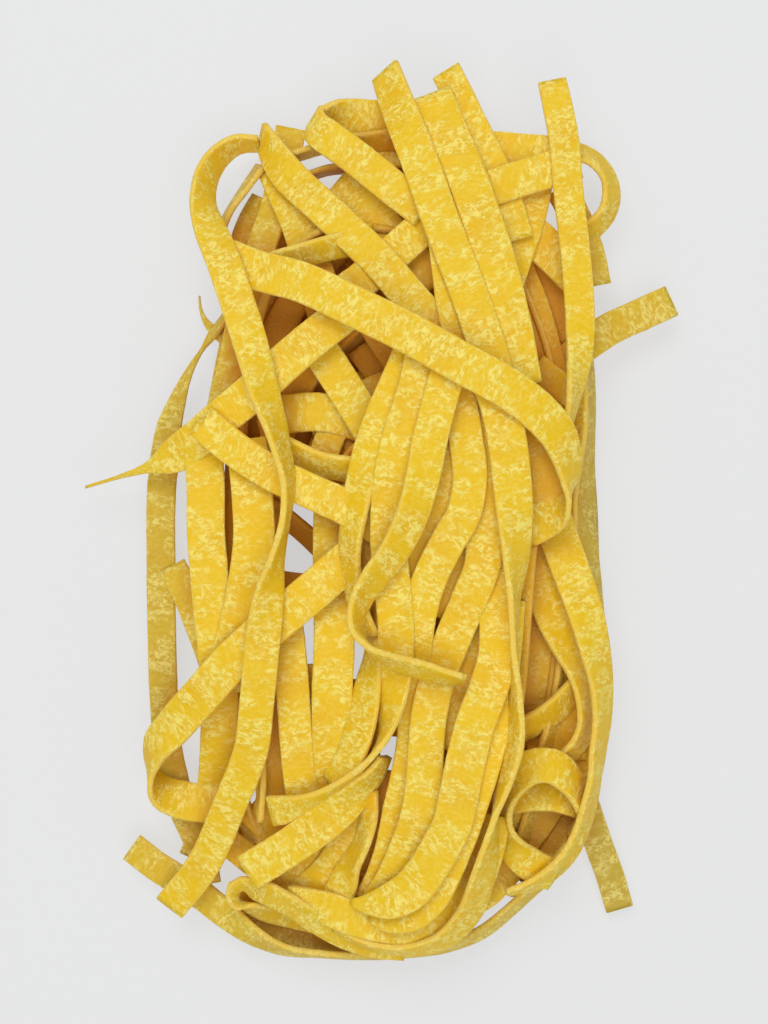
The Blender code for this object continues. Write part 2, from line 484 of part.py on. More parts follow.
def noodle(name, width, stations, collection):
    """One noodle as a closed mesh, swept along its stations."""
    section = profile(width)
    curve = bpy.data.curves.new(name, "CURVE")
    curve.dimensions = "3D"
    curve.twist_mode = "Z_UP"
    curve.bevel_mode = "OBJECT"
    curve.bevel_object = section
    curve.use_fill_caps = True
    spline = curve.splines.new("POLY")
    spline.points.add(len(stations) - 1)
    for point, station in zip(spline.points, stations):
        point.co = (*(station.xyz * MM), 1)
        point.tilt = math.radians(station[3])
        point.radius = station[4]
    route = bpy.data.objects.new(name, curve)
    bpy.context.scene.collection.objects.link(route)
    bpy.context.view_layer.update()
    mesh = bpy.data.meshes.new_from_object(route.evaluated_get(bpy.context.evaluated_depsgraph_get()))
    for helper in (route, section):
        bpy.data.objects.remove(helper)
    weld(mesh)
    piece = bpy.data.objects.new(name, mesh)
    collection.objects.link(piece)


def core(name, middle, foot, crown, height, collection):
    """A flat-footed oval mound, narrower at its crown."""
    shape = bmesh.new()
    bmesh.ops.create_cone(shape, cap_ends=True, segments=CORE_SIDES, radius1=1, radius2=1, depth=1)
    centre = place(*middle, 0.0)
    for vert in shape.verts:
        half = crown if vert.co.z > 0 else foot
        rise = height if vert.co.z > 0 else 0.0
        vert.co = Vector((centre.x + vert.co.x * half[0], centre.y + vert.co.y * half[1], rise)) * MM
    mesh = bpy.data.meshes.new(name)
    shape.to_mesh(mesh)
    shape.free()
    piece = bpy.data.objects.new(name, mesh)
    collection.objects.link(piece)
    return piece


def islands(shape):
    """The faces of the bmesh, by surface: one that only touches another along an edge is separate."""
    left = set(shape.faces)
    found = []
    while left:
        start = left.pop()
        island = [start]
        front = [start]
        while front:
            face = front.pop()
            inner_edges = [edge for edge in face.edges if len(edge.link_faces) == 2]
            for edge in inner_edges:
                for other in left.intersection(edge.link_faces):
                    left.remove(other)
                    island.append(other)
                    front.append(other)
        found.append(island)
    return found


def keep_outer_surface(mesh):
    """Drops loose scraps and fills sealed hollows: only the surface with the most faces stays."""
    shape = bmesh.new()
    shape.from_mesh(mesh)
    bmesh.ops.triangulate(shape, faces=shape.faces)
    parts = sorted(islands(shape), key=len)
    scraps = [face for part in parts[:-1] for face in part]
    bmesh.ops.delete(shape, geom=scraps, context="FACES")
    shape.to_mesh(mesh)
    shape.free()


def pasta_material():
    material = bpy.data.materials.new("dry_pasta")
    material.use_nodes = True
    shader = material.node_tree.nodes["Principled BSDF"]
    shader.inputs["Base Color"].default_value = PASTA_COLOR
    shader.inputs["Roughness"].default_value = PASTA_ROUGHNESS
    shader.inputs["Metallic"].default_value = 0.0
    return material


def join(nest, pieces):
    """Unites the nest with all the pieces, and removes them."""
    union = nest.modifiers.new("union", "BOOLEAN")
    union.operation = "UNION"
    union.solver = "EXACT"
    union.operand_type = "COLLECTION"
    union.collection = pieces
    bpy.context.view_layer.update()
    graph = bpy.context.evaluated_depsgraph_get()
    joined = bpy.data.meshes.new_from_object(nest.evaluated_get(graph))
    nest.modifiers.clear()
    nest.data = joined
    for piece in list(pieces.objects):
        bpy.data.objects.remove(piece)
    bpy.data.collections.remove(pieces)


def main():
    for obj in list(bpy.data.objects):
        bpy.data.objects.remove(obj)
    product = bpy.data.collections.new("dry_pasta_nest")
    pieces = bpy.data.collections.new("pieces")
    for collection in (product, pieces):
        bpy.context.scene.collection.children.link(collection)
    nest = core("pasta_nest", *CORES["core"], product)
    for name, sizes in CORES.items():
        if name != "core":
            core(name, *sizes, pieces)
    for name, (width, knots) in NOODLES.items():
        noodle(name, width, smooth_route(knots), pieces)
    for seed, share, level in SIDE_TURNS:
        width, stations = side_turn(seed, share, level)
        noodle(f"side_turn_{seed}", width, stations, pieces)
    join(nest, pieces)
    keep_outer_surface(nest.data)
    nest.data.name = nest.name
    nest.data.materials.clear()
    nest.data.materials.append(pasta_material())


main()
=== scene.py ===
"""A nest of dry ribbon pasta: every noodle that shows, laid along its own route over the coils beneath.

The routes are the ones that the solid of the nest is made from, in the same frame: metres, +Z up, the
nest on z = 0 with its length along Y.
"""

import math
import random

import bmesh
import bpy
import numpy
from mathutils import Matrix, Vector, noise


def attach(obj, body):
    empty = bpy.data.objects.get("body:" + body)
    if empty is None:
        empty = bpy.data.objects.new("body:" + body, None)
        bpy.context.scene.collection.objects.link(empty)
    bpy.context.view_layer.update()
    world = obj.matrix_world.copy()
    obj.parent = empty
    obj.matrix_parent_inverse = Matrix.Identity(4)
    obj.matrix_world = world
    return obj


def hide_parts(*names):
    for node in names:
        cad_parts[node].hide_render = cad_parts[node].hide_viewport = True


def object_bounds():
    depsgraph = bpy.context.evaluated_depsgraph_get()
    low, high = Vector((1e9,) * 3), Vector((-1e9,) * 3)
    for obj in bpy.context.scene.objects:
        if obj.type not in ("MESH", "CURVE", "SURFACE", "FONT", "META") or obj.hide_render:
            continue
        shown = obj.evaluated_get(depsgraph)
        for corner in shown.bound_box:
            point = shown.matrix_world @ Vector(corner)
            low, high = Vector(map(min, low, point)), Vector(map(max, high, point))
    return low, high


bl_info = {
    "name": "Dry Pasta Nest",
    "version": (1, 0, 0),
    "blender": (4, 5, 0),
    "location": "3D View > Sidebar > Pasta",
    "description": "Lays a nest of dry ribbon pasta, noodle by noodle, with its studio",
    "category": "Object",
}

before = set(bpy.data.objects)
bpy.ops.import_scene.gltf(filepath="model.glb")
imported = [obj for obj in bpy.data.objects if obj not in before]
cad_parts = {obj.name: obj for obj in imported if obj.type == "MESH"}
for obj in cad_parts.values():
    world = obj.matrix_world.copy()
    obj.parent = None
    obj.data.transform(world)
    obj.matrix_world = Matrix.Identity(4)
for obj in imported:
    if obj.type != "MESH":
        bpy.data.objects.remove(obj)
SOLID_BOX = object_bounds()
NODE = "pasta_nest"
BODY = "root"

MM = 0.001
IMAGE_HEIGHT_PIXELS = 1024

# The routes are places in the picture, in its pixels, with heights in millimetres. The picture looks
# straight down on the table, so a pixel spans less on what lies higher.
PLAN_STEP = 0.185
EYE_HEIGHT = 300.0
PICTURE_MIDDLE = (384.0, 512.0)
NEST_MIDDLE = (-0.4, -1.0)

# The noodles by part of the nest. Each has its width in millimetres, then the knots of its route: across
# and down in the picture, height, turn about its own length in degrees (its left edge goes up), and share
# of the width where it narrows.
NOODLES = {
    "top_noodles": {
        "long_noodle": (5.9, [
            (170, 907, 9, 0), (203, 865, 13, 0), (231, 802, 18, 0), (251, 750, 21.5, 0),
            (257, 700, 24, 0), (262, 650, 25.5, 5), (268, 600, 26.5, 35), (276, 560, 27, 72),
            (285, 520, 27.5, 84), (288, 490, 27.5, 78), (279, 440, 27, 62), (263, 388, 26.5, 36),
            (248, 335, 26, 12), (235, 295, 24.5, 0), (221, 255, 22, 5), (209, 225, 18, 30),
            (203.5, 198, 14, 53), (206, 180, 11.5, 57), (213, 165, 9.5, 61), (225, 152, 8, 67),
            (240, 144, 7, 74), (259, 144, 7, 80)]),
        "first_diagonal": (6.2, [
            (262, 136, 7.5, 62), (272, 153, 9.5, 40), (290, 177, 12, 10), (320, 205, 15, 0),
            (350, 233, 17, 0), (380, 262, 18.5, 0), (410, 297, 19.5, 0), (440, 330, 20, 0)]),
        "sweep": (6.85, [
            (226, 258, 19.5, 0), (256, 270, 21.5, 0), (298, 281, 24, 0), (359, 309, 27, 0),
            (410, 334, 28.5, 0), (460, 362, 29.5, 0), (510, 390, 29, 0), (538, 411, 28, -8),
            (558, 434, 26.5, -20), (568, 460, 25, -42), (571, 483, 23.5, -66), (566, 500, 22.5, -104),
            (555, 512, 21.5, -146), (537, 523, 20.5, -175), (512, 535, 20, -180)]),
        "hook": (5.9, [
            (452, 360, 27, 0), (440, 400, 27.5, 0), (430, 440, 28, 0), (425, 467, 28.5, -10),
            (418, 497, 29, -22), (408, 525, 29.5, -28), (392, 555, 29.5, -36), (373, 580, 29.5, -46),
            (360, 603, 29.5, -58), (356, 627, 29.5, -74), (368, 647, 29.5, -95), (396, 662, 29, -115),
            (425, 671, 28.5, -120), (445, 677, 28, -115), (462, 680, 27.5, -108)]),
    },
    "standing_strips": {
        "strip_a": (6.4, [
            (385, 71, 14, 42), (397.5, 105, 16, 26), (411.5, 140, 18, 12), (425, 175, 19.5, 5),
            (437, 210, 21, 0), (449, 242, 22, 0), (461, 272, 23, 0), (473, 305, 23.5, 0),
            (485, 340, 24, 0), (496, 375, 24, 0)]),
        "strip_b": (6.9, [
            (432, 94, 15, 0), (447, 130, 17, 0), (462, 165, 18.5, 0), (475, 200, 20, 0),
            (487, 235, 21, 0), (498, 270, 22, 0), (508, 310, 22.4, 0), (516, 350, 22.5, 0),
            (522, 385, 22.5, 0)]),
        "strip_c": (5.4, [
            (446, 71, 12.5, 20), (458, 95, 13, 20), (470, 120, 14, 15), (484, 148, 14.5, 10),
            (497, 175, 15, 0), (508, 205, 15.5, 0), (518, 240, 16, 0)]),
        "strip_d": (5.2, [
            (552, 81, 15, 0, 0.95), (558.5, 110, 16, 0), (563.5, 137, 17, 0), (568, 187, 18, 0),
            (573, 232, 18.5, 0), (578, 283, 19, 0), (580, 325, 19.5, -10), (579, 360, 20, -35),
            (574, 395, 20, -62), (567, 430, 20, -80)]),
        "top_ribbon": (6.1, [
            (405, 119, 8, 0), (375, 117.5, 8.5, -12), (350, 115.5, 9.5, -32), (329, 114, 10.5, -65),
            (315, 118, 12, -100), (315, 127, 13.5, -140), (330, 139, 14.5, -172), (351, 154, 15.5, -180),
            (370, 169, 16.5, -180), (392, 187, 17.2, -180), (425, 212, 17.4, -180)]),
        "under_top_ribbon": (6.0, [
            (337, 183, 10, 0), (362, 202, 12, 0), (387, 228, 13, 0), (410, 254, 14, 0),
            (434, 288, 14.5, 0)]),
        "hole_edge": (6.2, [
            (446, 240, 19.4, 0), (450, 270, 20.6, 0), (454, 302, 21.6, 0), (464, 345, 21.6, 0)]),
        "under_arch": (5.4, [
            (372, 130, 6, 0), (392, 155, 6, 0), (414, 186, 7, 0)]),
        "second_diagonal": (6.7, [
            (273, 164, 6, 20), (286, 192, 9, 5), (299, 222, 11, 0), (310, 255, 13, 0), (320, 290, 14, 0),
            (331, 330, 15, 0)]),
        "sweep_neighbour": (4.8, [
            (246, 280, 18, 20), (272, 265, 18.2, 40), (300, 256, 17.8, 45), (325, 249, 17, 40),
            (350, 243, 15.5, 30), (375, 236, 14, 20)]),
        "left_patch": (5.4, [
            (291, 128, 7, 0), (285, 160, 6.5, 0), (276, 205, 7, 10), (262, 245, 9, 10), (250, 285, 10, 0),
            (240, 330, 11, 0), (231, 375, 11.5, 0), (222, 410, 12, 0)]),
        "narrow_strip": (5.0, [
            (261, 166, 5, 66), (244, 190, 5, 70), (228, 214, 6, 74), (219, 236, 7, 70),
            (214, 262, 8, 60)]),
        "olive_strip": (5.2, [
            (262, 198, 4, 40), (252, 216, 4, 35), (243, 245, 5, 20), (244, 285, 6.5, 5),
            (240, 315, 7.5, 0), (233, 350, 8, 0), (224, 395, 9, 0), (216, 440, 10, 0)]),
        "thin_bridge": (4.6, [
            (294, 181, 6, 86), (310, 176, 6, 88), (325, 171, 6, 88), (345, 168, 6.5, 84),
            (372, 166, 7, 70)]),
        "thin_bridge_two": (4.6, [
            (292, 157, 7, 84), (306, 153, 7.3, 84), (320, 148, 7.6, 80), (345, 144, 8, 62),
            (372, 143, 8.5, 50), (402, 138, 9, 42), (430, 130, 9.5, 30)]),
        "thin_hook": (3.2, [
            (199.5, 296, 6, 0, 0.1), (200.5, 308, 6, 0, 0.16), (204.5, 319, 6.5, 0, 0.3),
            (210, 327, 7, 0, 0.5), (228, 340, 7.5, 0, 0.9)]),
    },
    "right_crossing_noodles": {
        "cross_right": (6.3, [
            (577, 161, 16, 0), (551, 169.5, 16.5, 0), (520, 179, 16.6, 0), (487, 190, 16.5, 0),
            (455, 205, 16.5, 0), (425, 226, 16.5, 0), (395, 252, 17, 0), (365, 278, 17.5, 0),
            (335, 300, 18, 0)]),
        "right_loop": (5.8, [
            (470, 152, 12, 0), (495, 148, 12.5, 0), (520, 150, 13, -5), (548, 150, 13.5, -25),
            (573, 151, 13, -46), (591, 157, 12.5, -54), (603, 168, 12, -56), (610.5, 184, 11, -56),
            (611, 201, 10.5, -56), (606, 215, 10, -60), (595, 227, 9.5, -60), (580, 237, 9, -45),
            (564, 252, 8.5, -20), (553, 280, 8, 0)]),
        "right_tail": (5.4, [
            (560, 188, 9.5, 0), (573, 212, 9, 0), (584, 237, 8.5, 0), (591, 260, 8, 0),
            (596, 286, 7.5, 0)]),
        "right_patch": (6.8, [
            (518, 222, 13.8, 0), (538, 240, 13.8, 0), (558, 259, 13.4, 0), (578, 279, 12.6, 0)]),
        "under_right": (6.2, [
            (537, 172, 14, 0), (533, 195, 14.2, 0), (527, 220, 14.4, 0), (517, 250, 14.8, 0),
            (505, 285, 16.6, 0)]),
        "deep_right": (6.8, [
            (514, 268, 11, 0), (530, 308, 11.3, 0), (541, 345, 11.3, 0), (552, 390, 11, 0)]),
        "deep_right_two": (5.6, [
            (540, 262, 9, 0), (558, 300, 9, 0), (576, 340, 9, 0)]),
        "short_end": (4.8, [
            (535, 366, 14, 0), (557, 384, 13.5, 0), (582, 404, 12.5, 0)]),
        "right_stray": (5.8, [
            (562, 366, 10.5, 0), (585, 346, 9.5, 0), (610, 329, 8, 0), (640, 315, 7, 0),
            (671, 301, 6, 0)]),
    },
    "lengthwise_noodles": {
        "middle_one": (5.6, [
            (412, 344, 23.5, 0), (404, 365, 24, 0), (394, 388, 24.5, 0), (382, 415, 25, 10),
            (370, 447, 25, 20), (361, 480, 25, 30), (354, 515, 25, 42), (350, 545, 24.8, 52),
            (352, 580, 24.5, 60), (358, 608, 24, 60), (367, 635, 23, 50)]),
        "middle_two": (6.2, [
            (424, 350, 25.5, 0), (417, 385, 26, 0), (403, 428, 26.5, 0), (393, 470, 26.5, 0),
            (389, 510, 26.5, 0), (389, 550, 26, 0), (393, 590, 25.5, 0), (396, 625, 25, 0),
            (396, 660, 24.5, 15), (393, 690, 24, 35), (388, 717, 23.5, 58), (380, 742, 23, 84),
            (362, 770, 22, 108), (335, 792, 21, 122), (305, 807, 20, 140), (270, 811, 19, 152)]),
        "under_hook": (5.5, [
            (378, 470, 18.5, 0), (374, 530, 18.5, 0), (375, 600, 18.5, 0), (383, 645, 18.5, 0),
            (379, 690, 18.5, 0), (374, 735, 17.5, 0)]),
        "slot_under": (5.5, [
            (450, 440, 23.4, 0), (445, 475, 24, 0), (435, 515, 24, 0), (421, 560, 23.6, 0),
            (411, 605, 23.2, 0), (405, 645, 23, 0)]),
        "slot_under_two": (6.0, [
            (488, 590, 20.5, 0), (474, 630, 21.5, 0), (463, 665, 21.8, 0), (455, 705, 21.8, 0),
            (450, 750, 21.5, 0)]),
        "middle_four": (5.9, [
            (452, 370, 24, 0), (459, 400, 24.5, 0), (466, 440, 25, 0), (470, 480, 25.5, 0),
            (463, 515, 25.7, 0), (446, 545, 25.7, 0), (430, 578, 25.2, 0), (419, 615, 24.8, 0),
            (415, 650, 24, 0), (414, 690, 22.5, 0), (414, 738, 21.5, 0), (408, 775, 21, 0),
            (400, 810, 20.5, 0), (392, 848, 19.5, 0), (382, 878, 17.8, 0), (371, 900, 16, 0)]),
        "middle_five": (6.2, [
            (470, 385, 23, 0), (480, 440, 23.8, 0), (484, 490, 24.2, 0), (483, 530, 24.2, 0),
            (483, 562, 24.3, 0), (469, 600, 24, 0), (452, 640, 23.8, 0), (437, 680, 23.5, 0),
            (429, 715, 23.5, 0), (426, 750, 23.5, 0), (423, 790, 23.5, 0), (417, 822, 23, 0),
            (406, 852, 21.6, 0), (393, 880, 19.6, 0), (378, 903, 17.2, 0)]),
        "middle_six": (6.7, [
            (484, 460, 22, 0), (490, 520, 22.5, 0), (495, 580, 23, 0), (499, 620, 24, 0),
            (498, 655, 25, 0), (488, 690, 25.5, 0), (475, 725, 26, 0), (466, 760, 26, 0),
            (459, 795, 26, 0), (452, 825, 25.5, 0), (438, 852, 25, 0), (425, 873, 24, 5),
            (408, 892, 23, 12), (386, 902, 22, 15, 0.86), (367, 904, 20.6, 15, 0.5),
            (351, 902, 19.2, 10, 0.15)]),
        "middle_eight": (6.3, [
            (507, 600, 21.5, 0), (503, 650, 22.5, 0), (498, 690, 23.5, 0), (491, 730, 24.2, 0),
            (482, 765, 24.6, 0), (471, 800, 24.6, 0), (459, 835, 24, 0), (446, 866, 23, 0),
            (432, 894, 22, 5), (412, 912, 21, 15), (390, 918, 19.8, 18, 0.8), (370, 915, 18.4, 18, 0.4)]),
        "middle_seven": (6.6, [
            (484, 365, 26, 0), (498, 400, 26.5, 0), (507, 440, 27, 0), (512, 480, 27, -5),
            (515, 520, 27, -25), (516, 560, 27, -50), (514, 600, 27, -74), (514, 650, 26.5, -84),
            (515, 700, 26, -103), (513, 745, 25.5, -112), (503.5, 780, 25, -106), (496.5, 806, 24, -90),
            (492, 830, 23.5, -76), (488, 852, 22.8, -62), (482, 878, 21.5, -50), (466, 918, 18.5, -46),
            (444, 940, 17, -52), (402, 951, 15.5, -62), (361, 944, 14.5, -64), (332, 930, 14, -60)]),
        "middle_left_a": (5.8, [
            (282, 590, 18, 0), (288, 640, 19, 0), (292, 680, 19.5, 0), (295, 720, 19.5, 0),
            (298, 760, 19, 0), (303, 800, 17.5, 0)]),
        "middle_left_b": (7.0, [
            (334, 500, 17, 0), (333, 550, 18.5, 0), (334, 600, 19.5, 0), (334, 650, 20.5, 0),
            (332, 700, 20.8, 0), (333, 745, 20, 0), (335, 790, 17.5, 0), (338, 830, 15, 0)]),
        "middle_left_c": (6.0, [
            (373, 595, 21, 68), (373, 655, 21.5, 66), (367, 690, 22, 45), (360, 725, 22, 32),
            (350, 755, 21.5, 35), (332, 785, 20, 40)]),
        "gap_bridge": (4.6, [
            (258, 500, 9, 40), (283, 516, 9, 45), (305, 534, 9, 45), (334, 560, 9, 30)]),
        "slit_under": (3.6, [
            (268, 470, 9, 0), (273, 503, 9, 0), (275, 545, 9, 0)]),
        "under_left": (5.6, [
            (310, 664, 15.5, 0), (312, 720, 15.5, 0), (316, 780, 14.5, 0)]),
        "gap_floor": (5.2, [
            (362, 679, 14.5, 0), (362, 715, 15, 0), (366, 760, 15, 0)]),
        "low_bridge": (5.4, [
            (252, 580, 8, 0), (290, 587, 8, 0), (330, 590, 8, 0), (368, 592, 8, 0)]),
        "dark_column": (5.4, [
            (274, 660, 14.5, 0), (271, 715, 15, 0), (270, 765, 14.5, 0), (275, 815, 13, 0),
            (290, 850, 11, 0)]),
        "thin_strand": (4.8, [
            (259, 715, 16.5, 80), (262, 755, 16, 82), (262, 790, 15.5, 80), (258, 817, 14.5, 72)]),
        "corner_floor": (5.0, [
            (222, 837, 10.5, 0), (252, 861, 11, 0), (290, 891, 10.5, 0)]),
        "corner_floor_two": (4.8, [
            (248, 808, 11.4, 0), (268, 828, 12, 0), (294, 854, 12, 0)]),
    },
    "left_noodles": {
        "cross_left": (6.5, [
            (352, 308, 21.5, 0), (330, 325, 22, 0), (290, 358, 22.5, 0), (255, 390, 22, 0),
            (225, 415, 20.5, 0), (196, 440, 18, 0), (172, 457, 15.5, 5, 0.92), (150, 467, 13, 5, 0.34),
            (122, 476, 10, 0, 0.13), (86, 487, 7, 0, 0.08)]),
        "shelf": (6.0, [
            (201, 421, 21.7, 0), (232, 447, 22.6, 0), (270, 472, 23.5, 0), (310, 491, 24, 0),
            (345, 507, 24, 0), (382, 530, 23.5, 0)]),
        "small_arc": (5.8, [
            (268, 440, 19, 50), (290, 451, 20, 50), (320, 464, 20.5, 50), (352, 470, 21, 45),
            (380, 474, 21, 30)]),
        "diagonal_slab": (6.3, [
            (309, 330, 17.6, 0), (320, 349, 18.5, 0), (341, 382, 19, 0), (362, 415, 19.5, 0),
            (382, 450, 20, 0)]),
        "middle_slab": (6.8, [
            (258, 420, 15, 0), (288, 414, 16, 0), (318, 412, 16.4, 0), (348, 418, 16.6, 0),
            (380, 432, 16.4, 0)]),
        "slab_under": (6.4, [
            (322, 412, 14.6, 0), (340, 446, 15, 0), (362, 486, 15.2, 0)]),
        "deep_diagonal": (5.0, [
            (359, 347, 12.4, 0), (373, 366, 12.6, 0), (388, 387, 12.6, 0), (405, 412, 12.4, 0)]),
        "hole_right": (5.8, [
            (368, 314, 14.5, 0), (382, 336, 15, 0), (406, 371, 15.2, 0), (430, 405, 15, 0)]),
        "deep_left_top": (7.0, [
            (266, 288, 9.6, 0), (284, 332, 10, 0), (300, 378, 10, 0), (314, 420, 10, 0)]),
        "left_strip": (5.1, [
            (230, 312, 9, 70, 0.8), (214, 333, 8, 50, 0.38), (204, 347, 7.5, 10, 0.13),
            (195, 361, 7, 0, 0.2), (184, 383, 7, 0, 0.4), (177, 402, 7.5, 0, 0.62),
            (170, 424, 8, 0, 0.85), (166, 450, 8.5, 0), (162, 485, 8, 0), (161, 560, 7, 0),
            (162, 640, 6.5, 0), (164, 700, 6, 0), (169, 755, 6, 0), (183, 808, 6, 0), (201, 850, 6.3, 0),
            (207, 884, 6.8, 0)]),
        "slip": (5.1, [
            (172, 566, 7.8, 0), (188, 597, 9, 0), (201, 629, 11, 0), (214, 665, 12, 0)]),
        "first_column": (6.6, [
            (203, 445, 16.5, 0), (206, 490, 18.5, 0), (206, 530, 19.5, 0), (209, 570, 19.8, 0),
            (213, 615, 19.8, 0), (218, 660, 18.6, 0), (220, 700, 16.4, 0), (219, 740, 13.6, 0),
            (217, 775, 10.4, 0), (213, 805, 7.6, 0)]),
        "second_column": (7.1, [
            (246, 440, 19, 0), (250, 470, 20.3, 0), (253, 505, 21.2, 0), (254, 540, 21.8, 0),
            (250, 575, 21.6, 0), (243, 612, 21, 0), (234, 650, 19.9, 0), (228, 690, 19, 0)]),
        "left_band": (6.8, [
            (372, 540, 22, 0), (335, 572, 22.5, 0), (300, 602, 23, 0), (265, 631, 23, 0),
            (235, 658, 22.3, 0), (204, 692, 20.3, 0), (174, 726, 17, 14), (153.5, 750, 14, 46),
            (150, 774, 11.8, 85), (162, 792, 10.5, 130), (187, 801, 10, 160), (212, 804, 10, 175),
            (245, 808, 10, 180)]),
    },
    "lower_end_noodles": {
        "broad_band": (6.6, [
            (385, 757, 21, -74), (375, 774, 20.9, -62), (357, 793, 20.6, -40), (338, 811, 20.1, -14),
            (315, 829, 19.3, 0), (286, 849, 18.2, 0), (247, 873, 16.4, 4)]),
        "lower_fan": (5.2, [
            (360, 803, 16.5, 0), (346, 838, 15.8, 0), (329, 866, 14.4, 0), (308, 886, 12.8, 0),
            (284, 899, 11, 0)]),
        "lower_fan_two": (5.0, [
            (340, 808, 14.6, 0), (318, 844, 14, 0), (294, 874, 12.4, 0), (268, 892, 10.6, 0)]),
        "brown_strip": (5.2, [
            (386, 770, 15.4, 0), (379, 815, 15.2, 0), (369, 858, 14.2, 0), (357, 898, 12.4, 0)]),
        "pale_twist": (5.6, [
            (364, 792, 18, 30), (367, 818, 18.4, 56), (361, 844, 18.4, 66), (352, 862, 18, 60),
            (345, 880, 17, 36), (338, 898, 15, 16), (332, 912, 13.4, 10)]),
        "bottom_turn": (5.6, [
            (340, 925, 7.5, -20), (295, 917, 8, -35), (256, 909, 9.4, -55), (236.5, 899, 11, -88),
            (240, 887.5, 12.8, -128), (260, 890.5, 14.2, -142), (286, 903, 14.8, -140),
            (318, 922.5, 14.8, -144), (346, 936, 14.4, -152), (375, 943, 14, -165),
            (405, 945, 13.5, -175)]),
        "bottom_second": (5.8, [
            (288, 891, 14.4, 20, 0.4), (306, 899, 15.6, 10, 0.72), (330, 909, 16.6, 0),
            (365, 922, 17.4, 0), (405, 927, 18, 5), (444, 914, 18, 10), (472, 890, 18, 0),
            (486, 855, 18, 0), (494, 815, 18, 0)]),
        "lower_rim": (5.3, [
            (132, 847, 5, 0), (155, 865, 6, 0), (180, 881, 6.5, 0), (204, 897, 7, 5), (226, 915, 7.5, 18),
            (252, 935, 8, 42), (282, 949, 8, 60), (320, 954, 8, 70), (365, 956, 8, 70), (410, 953, 8, 66),
            (450, 946, 8.5, 62), (484, 931, 9, 58), (508, 912, 9.5, 60), (530, 892, 10, 60),
            (552, 871, 10, 55), (573, 846, 10, 50)]),
        "hollow_low": (5.2, [
            (232, 905, 4, 0), (265, 923, 4, 0), (300, 936, 4, 0), (340, 940, 4, 0), (385, 936, 4, 0)]),
        "low_right_floor": (5.6, [
            (455, 905, 12, 0), (480, 896, 12, 0), (505, 872, 12, 0), (528, 845, 11, 0)]),
    },
    "right_side_noodles": {
        "right_rim": (5.6, [
            (578, 335, 7, -35), (587.5, 385, 6.5, -60), (588, 440, 6.5, -64), (585.5, 490, 6.5, -56),
            (586.5, 530, 6.5, -52), (591, 570, 6.5, -54), (595.5, 610, 7, -58), (600.5, 650, 7, -62),
            (604, 700, 7, -65), (600, 750, 7, -65), (588, 800, 7, -60), (575, 838, 7, -55)]),
        "right_side": (5.6, [
            (572, 350, 11, 40), (575, 390, 11.5, 50), (575, 430, 11.5, 52), (571, 466, 11.5, 60),
            (567, 500, 11, 62), (565, 540, 10.5, 50)]),
        "outer_band": (6.8, [
            (545, 490, 15, 0), (556, 530, 16, 0), (570, 569, 17, -8), (578, 591, 17.5, -15),
            (586, 615, 18, -22), (595, 650, 18, -36), (601, 681, 17.5, -50), (602, 722, 17, -60),
            (598, 750, 16.5, -63), (595, 775, 16, -68), (590, 800, 15.5, -64), (582, 828, 15, -62),
            (570, 853, 14.5, -60), (550, 874, 14, -60), (526, 888, 13.5, -64), (508, 893, 13, -70)]),
        "inner_band": (5.8, [
            (528, 515, 13, 0), (536, 553, 14, 0), (541, 590, 14.5, -10), (551, 618, 15, -20),
            (564, 645, 15, -36), (577, 670, 15, -50), (585, 700, 14.8, -58), (586, 723, 14.5, -58),
            (580, 742, 14, -55), (565, 759, 13, -55)]),
        "right_ring": (6.1, [
            (583, 838, 12, 70), (582, 806, 14.5, 70), (572, 782, 16.8, 44), (551, 766, 18, 14),
            (531, 767, 18, 20), (513.5, 783, 17.6, 52), (507, 806, 17, 82), (506.5, 828, 16.5, 74),
            (514, 849, 16, 36), (532, 865, 15, 12), (556, 876, 13, 15)]),
        "ring_back": (5.2, [
            (503, 801, 12.5, -20), (528, 797, 13, -25), (553, 797, 13, -25), (580, 804, 12.5, -20)]),
        "ring_strip": (4.4, [
            (562, 790, 8.6, 0), (545, 818, 8.6, 0), (525, 846, 8.6, 0), (505, 874, 8.6, 0)]),
        "ring_strip_two": (4.6, [
            (586, 802, 7.4, 0), (566, 832, 7.4, 0), (544, 860, 7.4, 0), (524, 884, 7.4, 0)]),
        "hollow_edge": (6.4, [
            (500, 736, 14.4, 40), (528, 727, 14.6, 45), (554, 711, 14.6, 45), (577, 688, 13, 45)]),
        "hollow_floor": (6.6, [
            (526, 575, 12, 0), (533, 640, 12, 0), (541, 700, 11.4, 0), (546, 760, 10.8, 0)]),
        "right_floor": (5.2, [
            (574, 700, 9.6, 0), (583, 745, 9.8, 0), (583, 790, 9.4, 0)]),
        "hollow_side": (5.6, [
            (547, 590, 11, 0), (560, 645, 11.4, 0), (566, 700, 11.4, 0), (570, 760, 10.6, 0)]),
        "fold_floor": (7.0, [
            (536, 420, 15.5, 0), (546, 470, 16, 0), (548, 520, 15.5, 0), (542, 570, 13.4, 0)]),
        "low_right_stray": (5.1, [
            (574, 770, 5, 0), (583, 798, 4.5, 0), (590.5, 820, 4.3, 0), (599.5, 847, 4, 0),
            (610, 876, 3.5, 0), (619.5, 908.5, 3, 0)]),
        "low_left_patch": (5.6, [
            (217, 760, 8, 0), (215, 795, 8, 0), (206, 830, 7, 0), (194, 858, 6, 0)]),
    },
}

# The see-through gaps of the nest, as left, right, upper and lower pixel: the coils leave them open.
GAPS = (
    (200, 258, 147, 218), (256, 267, 176, 198), (222, 237, 215, 244), (298, 340, 148, 173),
    (312, 337, 168, 190), (543, 557, 198, 225), (583, 602, 166, 218), (184, 227, 300, 413),
    (174, 189, 480, 569), (175, 199, 619, 695), (180, 200, 720, 787), (287, 315, 507, 526),
    (283, 315, 537, 573), (301, 315, 621, 650), (352, 365, 646, 664), (380, 398, 738, 771),
    (212, 243, 853, 886), (460, 470, 853, 870), (515, 530, 892, 908),
)

